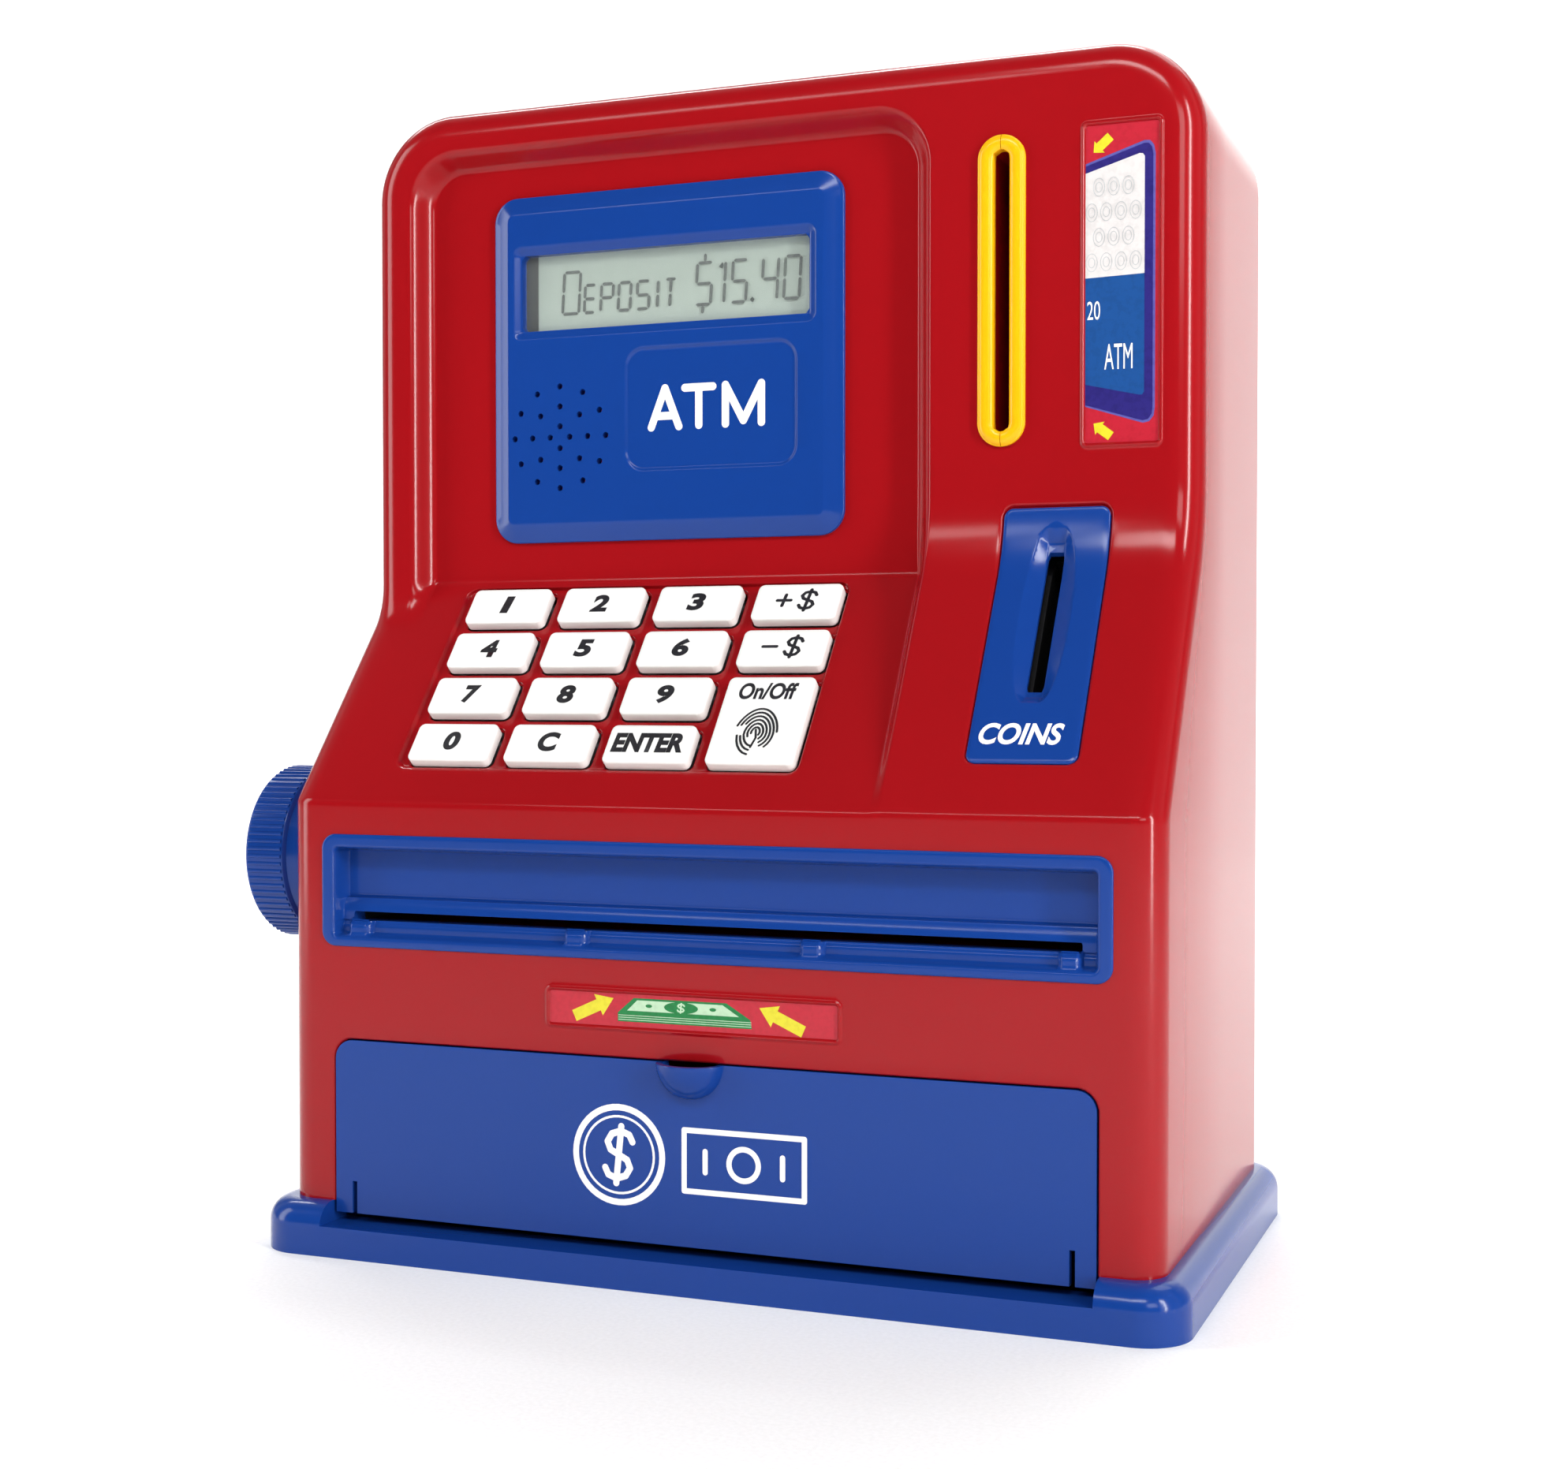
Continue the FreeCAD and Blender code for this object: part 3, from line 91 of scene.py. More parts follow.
CAMERA_TILT, CAMERA_TURN = 1.29, 21.36
camera_data = bpy.data.cameras.new("camera")
camera_data.sensor_width = 36
camera_data.lens = 49.64
camera_data.shift_x = -0.0029
camera_data.shift_y = 0.0014
camera = placed("camera", camera_data)
camera.location = (0.2175, -0.5564, 0.1496)
camera.rotation_euler = (math.radians(90 - CAMERA_TILT), 0, math.radians(CAMERA_TURN))
bpy.context.scene.camera = camera

# Each lamp: its name, its place, the point it faces, its width and height in metres, and its power in watts.
LAMPS = (
    ("left_lamp", (-1.05, -0.5, 0.35), (0.0, 0.0, 0.15), (0.34, 1.2), 7.5),
    ("right_lamp", (1.1, -0.5, 0.45), (0.0, 0.0, 0.2), (0.12, 1.0), 12),
    ("high_lamp", (0.15, 0.85, 1.45), (0.0, 0.0, 0.0), (1.2, 0.7), 7),
    ("front_lamp", (-0.5, -1.15, 1.0), (0.0, 0.0, 0.15), (0.5, 0.14), 1.6),
    ("fill_lamp", (1.0, -1.35, 0.8), (0.0, 0.0, 0.15), (0.5, 0.5), 4.5),
    ("floor_lamp", (0.2, -1.9, 1.9), (0.1, -0.8, 0.0), (1.4, 0.4), 26),
    ("paper_lamp", (-0.9, 0.9, 1.9), (-0.9, 2.2, 0.6), (2.2, 0.6), 75),
)
for lamp_name, lamp_place, lamp_target, lamp_size, lamp_power in LAMPS:
    lamp_data = bpy.data.lights.new(lamp_name, "AREA")
    lamp_data.shape = "RECTANGLE"
    lamp_data.size, lamp_data.size_y = lamp_size
    lamp_data.energy = lamp_power
    lamp = placed(lamp_name, lamp_data)
    lamp.location = lamp_place
    aim = Vector(lamp_target) - Vector(lamp_place)
    lamp.rotation_euler = aim.to_track_quat("-Z", "Y").to_euler()

surround = bpy.data.worlds.new("surround")
surround.use_nodes = True
tree = surround.node_tree
tree.nodes.clear()
heading = add_node(tree, "ShaderNodeTexCoord").outputs["Generated"]
depth_axis = add_node(tree, "ShaderNodeSeparateXYZ", {0: heading}).outputs["Y"]
halved = add_node(tree, "ShaderNodeMath", {0: depth_axis, 1: 0.5, 2: 0.5}, operation="MULTIPLY_ADD")
GLOW_STOPS = ((0.1, "#303134"), (0.42, "#6C6E72"), (0.62, "#FFFFFF"))
glow = add_node(tree, "ShaderNodeValToRGB", {"Fac": halved.outputs[0]}, stops=GLOW_STOPS)
sky = add_node(tree, "ShaderNodeBackground", {"Color": glow.outputs[0], "Strength": 0.5})
add_node(tree, "ShaderNodeOutputWorld", {"Surface": sky.outputs[0]})
bpy.context.scene.world = surround
bpy.context.scene.view_settings.view_transform = "Standard"

# Studio paper: one wide sheet that lies flat under the toy and sweeps up behind it. It is matt and nearly white,
# with a fine felted tooth that keeps the soft shadow under the plinth even.
PAPER_STOPS = ((0.3, "#F4F4F3"), (0.7, "#FBFBFA"))
PAPER_HALF, PAPER_TOP = 6, 4.5
SWEEP_START, SWEEP_RADIUS = 1.4, 0.9
tree, spot, close = new_material("matt_studio_paper")
tooth = add_node(tree, "ShaderNodeTexNoise", {"Vector": spot, "Scale": 900.0, "Detail": 3.0})
paper_tone = add_node(tree, "ShaderNodeValToRGB", {"Fac": tooth.outputs[0]}, stops=PAPER_STOPS)
studio_paper = close({"Base Color": paper_tone.outputs[0], "Roughness": 0.9})
sweep_line = [(-PAPER_HALF, 0.0), (SWEEP_START, 0.0)]
for turn in np.radians(range(10, 91, 10)):
    sweep_line.append((SWEEP_START + SWEEP_RADIUS * math.sin(turn), SWEEP_RADIUS - SWEEP_RADIUS * math.cos(turn)))
sweep_line.append((SWEEP_START + SWEEP_RADIUS, PAPER_TOP))
paper_points = [(x, y, z) for y, z in sweep_line for x in (-PAPER_HALF, PAPER_HALF)]
paper_faces = [(2 * i, 2 * i + 1, 2 * i + 3, 2 * i + 2) for i in range(len(sweep_line) - 1)]
floor = placed("floor", bpy.data.meshes.new("floor"))
floor.data.from_pydata(paper_points, [], paper_faces)
floor.data.shade_smooth()
floor.data.materials.append(studio_paper)

# Rear housing: the deep back half of the body, one moulding in glossy red ABS with screw wells and an opening
# for the battery lid. It meets the front half in a fine seam.


def moulded_abs(name, base, shade, roughness):
    """ABS from a polished mould: slow flow marks in its tone, faint sink in its faces, and a clean clear gloss."""
    tree, spot, close = new_material(name)
    flow = add_node(tree, "ShaderNodeTexNoise", {"Vector": spot, "Scale": 9.0, "Detail": 1.0})
    tone = add_node(tree, "ShaderNodeValToRGB", {"Fac": flow.outputs[0]}, stops=((0.2, shade), (0.8, base)))
    gloss = add_node(tree, "ShaderNodeMapRange", {0: flow.outputs[0], 3: roughness - 0.02, 4: roughness + 0.02})
    wave = add_node(tree, "ShaderNodeTexNoise", {"Vector": spot, "Scale": 1 / (60 * MM), "Detail": 0.0})
    sink = add_node(tree, "ShaderNodeBump", {"Height": wave.outputs[0], "Strength": 0.1, "Distance": 0.5 * MM})
    fine = add_node(tree, "ShaderNodeTexNoise", {"Vector": spot, "Scale": 1 / (0.5 * MM), "Detail": 2.0})
    pores = {"Height": fine.outputs[0], "Strength": 0.03, "Distance": 0.02 * MM, "Normal": sink.outputs[0]}
    skin = add_node(tree, "ShaderNodeBump", pores)
    surface = {"Base Color": tone.outputs[0], "Roughness": gloss.outputs[0], "Normal": skin.outputs[0]}
    return close({**surface, "IOR": 1.53, "Specular IOR Level": 0.25})


# Red ABS, self-coloured: a deep even red under a polished skin that shows the lamps as soft clear bands.
red_abs = moulded_abs("red_moulded_abs", "#9A0F16", "#930E14", 0.15)


def smooth_shaded(piece, crease=38):
    """Shades a piece smooth, with a crease where its faces turn by more than this angle."""
    piece.data.shade_smooth()
    shape = bmesh.new()
    shape.from_mesh(piece.data)
    for edge in shape.edges:
        edge.smooth = edge.calc_face_angle(0) < math.radians(crease)
    shape.to_mesh(piece.data)
    shape.free()
    return piece


def made_of(piece, material, crease=38):
    """Gives a piece its one material, and its shading."""
    piece.data.materials.clear()
    piece.data.materials.append(material)
    return smooth_shaded(piece, crease)


def settle(piece):
    """Turns a piece with modifiers into a plain mesh."""
    bpy.context.view_layer.update()
    made = bpy.data.meshes.new_from_object(piece.evaluated_get(bpy.context.evaluated_depsgraph_get()))
    made.name = piece.name
    piece.modifiers.clear()
    piece.data = made
    return piece


def even_faces(piece):
    """Lets a piece's large flat faces shade flat, so that only its narrow rounded edges turn the light."""
    evening = piece.modifiers.new("even_faces", "WEIGHTED_NORMAL")
    evening.keep_sharp = True
    evening.weight = 80
    return settle(piece)


def moulding_from(node, name, material, body, edge_width):
    """A clean copy of a CAD node as one merged mesh, with its sharp edges broken as a mould's are."""
    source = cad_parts[node]
    copied = placed(name, source.data.copy())
    copied.data.transform(source.matrix_world)
    shape = bmesh.new()
    shape.from_mesh(copied.data)
    bmesh.ops.remove_doubles(shape, verts=shape.verts, dist=0.002 * MM)
    flat = {"angle_limit": math.radians(0.5), "delimit": {"NORMAL"}}
    bmesh.ops.dissolve_limit(shape, verts=shape.verts, edges=shape.edges, **flat)
    shape.to_mesh(copied.data)
    shape.free()
    edge_break = copied.modifiers.new("edge_break", "BEVEL")
    edge_break.width = edge_width * MM
    edge_break.segments = 2
    edge_break.limit_method = "ANGLE"
    edge_break.angle_limit = math.radians(50)
    even_faces(made_of(settle(copied), material, 35))
    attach(copied, body)
    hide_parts(node)


moulding_from("rear_housing", "rear_moulding", red_abs, "housing", 0.35)

# Plinth: the blue ABS base moulding with a rolled rim, a lowered sill in front of the door, and four screw
# wells underneath. The two halves of the body stand on it.
# Blue ABS, self-coloured: a strong blue, a touch softer in its gloss than the red.
blue_abs = moulded_abs("blue_moulded_abs", "#133C8B", "#123985", 0.17)
moulding_from("base", "plinth_moulding", blue_abs, "housing", 0.4)

# Front housing: the thin red ABS front moulding. Its face steps down into a recess round the display, leans
# forward under the keypad and under the coin column, and is open for the bezels, the keys and the door.
FRONT, FACE, FLOOR = -67.6, -24.5, -18.5
SHELF = 119.6
SHELF_RADIUS = 3.0
KEY_LEAN, COLUMN_LEAN = math.radians(39.44), math.radians(32.2)
FRAME_BEND, FLOOR_BEND, COLUMN_BEND = 20, 4, 46
RECESS = (-103.0, 45.9, -400, 297.2)
RECESS_CORNER, RECESS_WALL = 12.5, 3.0
WALL = 3.0
PAD = (-88.8, 25.2, 12.2, 75.0)
PAD_SUNK = 1.2
KEY_FIRST, KEY_PITCH, KEY_HALF = (-73.2, 66.95), (28.57, 15.95), (11.95, 6.15)
KEY_COLUMNS = (("1", "4", "7", "0"), ("2", "5", "8", "clear"), ("3", "6", "9", "enter"), ("plus", "minus"))
KEY_SPANS = {}
for column, names in enumerate(KEY_COLUMNS):
    for line, key_name in enumerate(names):
        across, up = KEY_FIRST[0] + KEY_PITCH[0] * column, KEY_FIRST[1] - KEY_PITCH[1] * line
        KEY_SPANS[key_name] = (across - KEY_HALF[0], across + KEY_HALF[0], up - KEY_HALF[1], up + KEY_HALF[1])
KEY_SPANS["power"] = (0.56, 24.46, 12.95, 41.2)
COIN_PLATE = (68.4, 95.8, 14.4, 86.8)
CARD_FRAME = (87.7, 108.8, 209.4, 290.9)
NOTE_FRAME = (-40.3, 40.3, 63.2, 74.2)
DOORWAY = (-103.1, 103.1, -60.0, 56.8)


def eased(share):
    """A share from 0 to 1 that starts and ends gently."""
    held = np.clip(share, 0, 1)
    return held * held * (3 - 2 * held)


def inside_by(x, z, span, radius):
    """How far inside a round-cornered rectangle (left, right, low, high) a point lies; negative outside it."""
    left, right, low, high = span
    across = np.abs(x - (left + right) / 2) - (right - left) / 2 + radius
    along = np.abs(z - (low + high) / 2) - (high - low) / 2 + radius
    beyond = np.hypot(np.maximum(across, 0), np.maximum(along, 0))
    return radius - beyond - np.minimum(np.maximum(across, along), 0)


def grown(span, margin):
    """A rectangle with a margin added all round."""
    return span[0] - margin, span[1] + margin, span[2] - margin, span[3] + margin


def rim(inside, radius):
    """How far a face has sunk at a rounded rim, whose hole starts where inside is 0."""
    into = np.clip(inside + radius, 0, radius)
    return radius - np.sqrt(radius * radius - into * into)


def bent_face(z, lean, level, radius):
    """Depth of a face that is upright to the shelf, leans back above it, and bends upright again at a level."""
    depth = np.minimum(FRONT + np.maximum(z - SHELF, 0) * math.tan(lean), level)
    reach = SHELF_RADIUS * math.tan(lean / 2)
    over = z - SHELF + reach
    bulge = FRONT + SHELF_RADIUS - np.sqrt(np.maximum(SHELF_RADIUS**2 - over**2, 0))
    depth = np.where((over > 0) & (over < reach * (1 + math.cos(lean))), bulge, depth)
    reach = radius * math.tan(lean / 2)
    under = z - SHELF - (level - FRONT) / math.tan(lean) - reach
    hollow = level - radius + np.sqrt(np.maximum(radius**2 - under**2, 0))
    return np.where((under < 0) & (under > -reach * (1 + math.cos(lean))), hollow, depth)


def bare_front(x, z):
    """Depth of the front before its openings: frame, keypad slope, display recess and coin column."""
    near_shelf = eased((192 - z) / 70)
    moved = np.where(x > 0, x - 2.0 * near_shelf, x)
    half_wall = np.where(x > 0, RECESS_WALL - 1.5 * near_shelf, RECESS_WALL)
    sunk = eased(0.5 + inside_by(moved, z, RECESS, RECESS_CORNER) / (2 * half_wall))
    frame_face = bent_face(z, KEY_LEAN, FACE, FRAME_BEND)
    outer = np.where(x < 0, frame_face, bent_face(z, COLUMN_LEAN, FACE, COLUMN_BEND))
    return outer + (bent_face(z, KEY_LEAN, FLOOR, FLOOR_BEND) - outer) * sunk


def front_relief(x, z):
    """Depth of the finished red front: sunken keypad, eased rims round every opening, and raised label frames."""
    slant = (z - SHELF) / math.cos(KEY_LEAN)
    pad = inside_by(x, slant + PAD_SUNK / 2 * math.tan(KEY_LEAN), PAD, 3)
    pad_drop = PAD_SUNK * eased(0.5 + pad / 1.1)
    up = slant + PAD_SUNK * math.tan(KEY_LEAN)
    for span in KEY_SPANS.values():
        pad_drop = pad_drop + rim(inside_by(x, up, grown(span, 0.5), 2.3), 0.6)
    depth = bare_front(x, z) + pad_drop / math.cos(KEY_LEAN)
    column = bent_face(z, COLUMN_LEAN, FACE, COLUMN_BEND)
    coin_up = (column - FRONT) * math.sin(COLUMN_LEAN) + (z - SHELF) * math.cos(COLUMN_LEAN)
    depth = depth + rim(inside_by(x, coin_up, grown(COIN_PLATE, 0.15), 2.6), 0.9) / math.cos(COLUMN_LEAN)
    depth = depth + rim(inside_by(x, z, DOORWAY, 5.4), 0.7)
    for span in (CARD_FRAME, NOTE_FRAME):
        inside = inside_by(x, z, grown(span, -0.7), 1.2)
        depth = depth - 0.45 * eased(1 - np.abs(inside) / 0.75) + 0.3 * eased(inside / 0.5 - 0.7)
    return depth


def flat_cells(layers, largest, tolerance):
    """Splits a grid into the largest square cells over which every layer stays within the tolerance of flat."""
    found = []
    still_open = np.ones([(length - 1) // largest for length in layers[0].shape], bool)
    size = largest
    while size:
        worst = np.zeros(still_open.shape)
        tall, wide = still_open.shape
        for layer in layers:
            low_left, low_right = layer[:-1:size, :-1:size], layer[:-1:size, size::size]
            high_left, high_right = layer[size::size, :-1:size], layer[size::size, size::size]
            for i in range(size + 1):
                for j in range(size + 1):
                    up, over = i / size, j / size
                    flat = (low_left * (1 - over) + low_right * over) * (1 - up)
                    flat = flat + (high_left * (1 - over) + high_right * over) * up
                    here = layer[i : i + (tall - 1) * size + 1 : size, j : j + (wide - 1) * size + 1 : size]
                    worst = np.maximum(worst, np.abs(here - flat))
        kept = still_open & ((worst <= tolerance) | (size == 1))
        found += [(row * size, place * size, size) for row, place in np.argwhere(kept)]
        still_open = np.kron(still_open & ~kept, np.ones((2, 2), bool)).astype(bool)
        size //= 2
    return found


def solid(name, points, faces):
    """A new piece from its points, in millimetres, and its faces."""
    piece = placed(name, bpy.data.meshes.new(name))
    piece.data.from_pydata([point * MM for point in points], [], faces)
    return piece


def relief(name, span, corner, front, back, roll=0.5, cell=0.25, largest=16, tolerance=0.012, foot_flat=False):
    """A solid with a shaped front, a rolled edge of radius roll, straight sides and a flat back, in millimetres.

    span is its (left, right, low, high) outline with round corners, and front gives the depth at (x, z). A flat
    foot is cut square at low, with no corner and no rolled edge.
    """
    left, right, low, high = span
    middle, half = (left + right) / 2, (right - left) / 2 - roll
    arc = max(corner - roll, 0.02)
    top_start, foot_start = high - roll - arc, low if foot_flat else low + roll + arc
    foot_turn = 0 if foot_flat else math.pi / 2
    bottom_v, top_v = foot_start - arc * foot_turn, top_start + arc * math.pi / 2
    columns = largest * math.ceil(2 * half / (cell * largest))
    rows = largest * math.ceil((top_v - bottom_v) / (cell * largest))
    u = np.linspace(-half, half, columns + 1)
    v = np.linspace(bottom_v, top_v, rows + 1)
    turn = np.clip((v - top_start) / arc, 0, math.pi / 2) - np.clip((foot_start - v) / arc, 0, foot_turn)
    height = np.clip(v, foot_start, top_start) + arc * np.sin(turn)
    width = half - arc * (1 - np.cos(turn))
    core = max(half - 2 * arc, 0)
    narrowed = core + (np.abs(u) - core) * (width[:, None] - core) / (half - core)
    grid_x = np.sign(u) * np.where(np.abs(u) < core, np.abs(u), narrowed) + middle
    grid_z = np.repeat(height[:, None], columns + 1, 1)
    grid_y = front(grid_x, grid_z)
    cells = flat_cells([grid_y, grid_x, grid_z], largest, tolerance)
    used = np.zeros(grid_y.shape, bool)
    for row, place, size in cells:
        used[row : row + size + 1 : size, place : place + size + 1 : size] = True
    index = np.cumsum(used).reshape(used.shape) - 1
    points = [Vector(p) for p in zip(grid_x[used], grid_y[used], grid_z[used])]
    faces = []
    for row, place, size in cells:
        end_row, end_place = row + size, place + size
        foot = index[row, place:end_place][used[row, place:end_place]]
        side = index[row:end_row, end_place][used[row:end_row, end_place]]
        top = index[end_row, place + 1 : end_place + 1][used[end_row, place + 1 : end_place + 1]][::-1]
        return_side = index[row + 1 : end_row + 1, place][used[row + 1 : end_row + 1, place]][::-1]
        faces.append([*foot, *side, *top, *return_side])
    loop = [(index[0, c], 0, -1, 0 if foot_flat else roll) for c in np.flatnonzero(used[0])]
    loop += [(index[r, -1], math.cos(turn[r]), math.sin(turn[r]), roll) for r in np.flatnonzero(used[:, -1])]
    loop += [(index[-1, c], 0, 1, roll) for c in np.flatnonzero(used[-1])[::-1]]
    loop += [(index[r, 0], -math.cos(turn[r]), math.sin(turn[r]), roll) for r in np.flatnonzero(used[:, 0])[::-1]]
    before = [entry[0] for entry in loop]
    steps = 6
    for step in range(1, steps + 2):
        angle = math.pi / 2 * min(step, steps) / steps
        ring = []
        for start, out_x, out_z, radius in loop:
            reach = radius * math.sin(angle)
            depth = points[start].y + radius * (1 - math.cos(angle)) if step <= steps else back
            ring.append(len(points))
            points.append(Vector((points[start].x + out_x * reach, depth, points[start].z + out_z * reach)))
        for here in range(len(ring)):
            after = (here + 1) % len(ring)
            faces.append((before[after], before[here], ring[here], ring[after]))
        before = ring
    faces.append(before[::-1])
    piece = solid(name, points, faces)
    shape = bmesh.new()
    shape.from_mesh(piece.data)
    bmesh.ops.remove_doubles(shape, verts=shape.verts, dist=0.0005 * MM)
    bmesh.ops.dissolve_degenerate(shape, edges=shape.edges, dist=0.0005 * MM)
    shape.to_mesh(piece.data)
    shape.free()
    return piece


def laid(piece, lean):
    """Lays an upright piece on the slope that rises from the shelf: its depth 0 is the slope's face."""
    shelf = Matrix.Translation((0, FRONT * MM, SHELF * MM))
    piece.data.transform(shelf @ Matrix.Rotation(-lean, 4, "X"))
    return piece


def carved(piece, cutters):
    """Takes cutters out of a piece, one after another."""
    for cutter in cutters:
        cutting = piece.modifiers.new("cutting", "BOOLEAN")
        cutting.object = cutter
        cutting.solver = "MANIFOLD"
    settle(piece)
    for cutter in cutters:
        bpy.data.objects.remove(cutter)
    return piece


def plug(name, span, corner, near, far):
    """A straight plug with a round-cornered outline, to cut an opening with."""
    return relief(name, span, corner, lambda x, z: 0 * x + near, far, roll=0.01, cell=2, largest=4, tolerance=0.02)


front_shell = relief("front_moulding", (-118, 118, 13.5, 311.5), 24, front_relief, 10, 8, foot_flat=True)
hollow = relief(
    "front_hollow", (-115.5, 115.5, 8, 309), 21.5, lambda x, z: bare_front(x, z) + WALL, 14, 6,
    cell=1, tolerance=0.15, foot_flat=True,
)
openings = [hollow, plug("doorway", DOORWAY, 5.4, -80, -60)]
openings.append(plug("note_opening", (-104.8, 104.8, 83, 109.3), 1.5, -80, -60))
openings.append(plug("display_opening", (-75, 16.4, 245.5, 273.6), 1, -30, -10))
openings.append(plug("card_opening", (63.3, 71.7, 212.8, 287.4), 2, -40, -15))
for key_name, span in KEY_SPANS.items():
    openings.append(laid(plug("key_well_" + key_name, grown(span, 0.5), 2.3, -4, 9), KEY_LEAN))
openings.append(laid(plug("coin_opening", grown(COIN_PLATE, 0.15), 2.6, -9, 5), COLUMN_LEAN))
made_of(carved(front_shell, openings), red_abs)
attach(front_shell, "housing")
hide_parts("front_housing")

# Keys: fifteen satin white ABS caps that stand out of the sunken keypad, each with its sign printed in black.
# They are pushed in against the rubber mat behind them.
KEY_PROUD = 2.1
KEY_EDGE = 0.9
# White ABS from a finely etched mould: a satin skin that spreads the lamps into one soft sheen.
white_abs = moulded_abs("satin_white_abs", "#F4F4F1", "#ECECE8", 0.36)


def printed_ink(name, base, worn, roughness=0.42):
    """Pad-printed ink: an even film with a faint thin patch here and there, duller than the plastic under it."""
    tree, spot, close = new_material(name)
    film = add_node(tree, "ShaderNodeTexNoise", {"Vector": spot, "Scale": 1 / (1.4 * MM), "Detail": 2.0})
    tone = add_node(tree, "ShaderNodeValToRGB", {"Fac": film.outputs[0]}, stops=((0.35, worn), (0.55, base)))
    return close({"Base Color": tone.outputs[0], "Roughness": roughness, "IOR": 1.49})


PRINT_STEP = 0.006


def printed_shapes(name, outlines, depth, material):
    """Flat printed shapes, outlines of (x, z) points that face the front; each lies a hair above the last."""
    points, faces = [], []
    for layer, outline in enumerate(outlines):
        faces.append(range(len(points), len(points) + len(outline)))
        points += [Vector((x, depth - PRINT_STEP * layer, z)) for x, z in outline]
    piece = solid(name, points, faces)
    shape = bmesh.new()
    shape.from_mesh(piece.data)
    bmesh.ops.triangulate(shape, faces=[f for f in shape.faces if len(f.verts) > 4])
    for face in shape.faces:
        if face.normal.y > 0:
            face.normal_flip()
    shape.to_mesh(piece.data)
    shape.free()
    piece.data.materials.append(material)
    return piece


def lettering(name, words, span, depth, material, slant=0.0, weight=0.0):
    """Printed words in plain block letters that just fill a (left, right, low, high) span."""
    writing = bpy.data.curves.new(name, "FONT")
    writing.body = words
    writing.shear = slant
    writing.offset = weight
    writing.resolution_u = 6
    source = placed(name + "_writing", writing)
    bpy.context.view_layer.update()
    made = bpy.data.meshes.new_from_object(source.evaluated_get(bpy.context.evaluated_depsgraph_get()))
    bpy.data.objects.remove(source)
    places = np.array([v.co[:2] for v in made.vertices])
    start, size = places.min(0), np.ptp(places, 0)
    left, right, low, high = span
    for vertex in made.vertices:
        across, up = (np.array(vertex.co[:2]) - start) / size
        vertex.co = Vector((left + across * (right - left), depth, low + up * (high - low))) * MM
    made.materials.clear()
    made.materials.append(material)
    made.name = name
    return placed(name, made)


def stroke_outline(line, width):
    """The outline of a printed stroke that follows a line, with round corners and ends."""
    outline = []
    for run in (line, line[::-1]):
        ways = [(Vector(end) - Vector(start)).normalized() for start, end in zip(run, run[1:])]
        for corner, before, after in zip(run[1:], ways, ways[1:] + [None]):
            side = Vector((-before.y, before.x)) * width / 2
            turn = before.angle_signed(after) if after else math.pi
            if turn > 0:
                steps = max(1, round(turn * 5))
                for i in range(steps + 1):
                    outline.append(Vector(corner) + Matrix.Rotation(-turn * i / steps, 2) @ side)
            else:
                next_side = Vector((-after.y, after.x)) * width / 2
                outline.append(Vector(corner) + (side + next_side) / (1 + math.cos(turn)))
    return outline


# Black key ink: a soft near-black, duller than the cap round it.
key_ink = printed_ink("black_key_ink", "#17171B", "#26262B")
DIGIT_WIDTHS = (4.6, 3.2, 5.0, 4.8, 5.0, 4.9, 4.7, 4.6, 4.8, 4.7)
KEY_SIGNS = {str(digit): (str(digit), wide, 6.1) for digit, wide in enumerate(DIGIT_WIDTHS)}
KEY_SIGNS.update(clear=("C", 5.8, 6.3), enter=("ENTER", 20.0, 6.2))
SIGN_DEPTH = -KEY_PROUD - 0.03


def dollar_strokes(left, right, low, high):
    """Strokes of a dollar sign that fill a span: an S with a bar through it."""
    curve = [(0.93, 0.74), (0.8, 0.86), (0.5, 0.92), (0.2, 0.86), (0.07, 0.72), (0.2, 0.58), (0.5, 0.5)]
    curve += [(0.8, 0.42), (0.93, 0.28), (0.8, 0.14), (0.5, 0.08), (0.2, 0.14), (0.07, 0.26)]
    wide, tall = right - left, high - low
    lean = 0.1 * tall
    bar = [(0.5, 1.0), (0.5, 0.0)]
    return [[(left + x * wide + lean * (z - 0.5), low + z * tall) for x, z in stroke] for stroke in (curve, bar)]


def key_top(span):
    """The face of a key cap: flat, with a softly rounded border."""
    return lambda x, z: -KEY_PROUD + 0.55 * (1 - eased(inside_by(x, z, span, 1.8) / 1.6)) ** 2


for key_name, span in KEY_SPANS.items():
    cap = relief("key_cap_" + key_name, span, 1.8, key_top(span), 1.2, KEY_EDGE, largest=8, tolerance=0.02)
    made_of(laid(cap, KEY_LEAN), white_abs, 40)
    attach(cap, "button_" + key_name)
    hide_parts("key_" + key_name)
    centre_x, centre_up = (span[0] + span[1]) / 2, (span[2] + span[3]) / 2
    if key_name in KEY_SIGNS:
        words, wide, tall = KEY_SIGNS[key_name]
        sign_span = (centre_x - wide / 2, centre_x + wide / 2, centre_up - tall / 2, centre_up + tall / 2)
        sign = lettering("key_sign_" + key_name, words, sign_span, SIGN_DEPTH, key_ink, 0.08, 0.05)
        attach(laid(sign, KEY_LEAN), "button_" + key_name)
    elif key_name in ("plus", "minus"):
        strokes = dollar_strokes(centre_x + 0.9, centre_x + 5.5, centre_up - 3.6, centre_up + 3.6)
        strokes.append([(centre_x - 5.3, centre_up), (centre_x - 1.5, centre_up)])
        if key_name == "plus":
            strokes.append([(centre_x - 3.6, centre_up - 1.9), (centre_x - 3.2, centre_up + 1.9)])
        outlines = [stroke_outline(line, 0.95) for line in strokes]
        sign = printed_shapes("key_sign_" + key_name, outlines, SIGN_DEPTH, key_ink)
        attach(laid(sign, KEY_LEAN), "button_" + key_name)

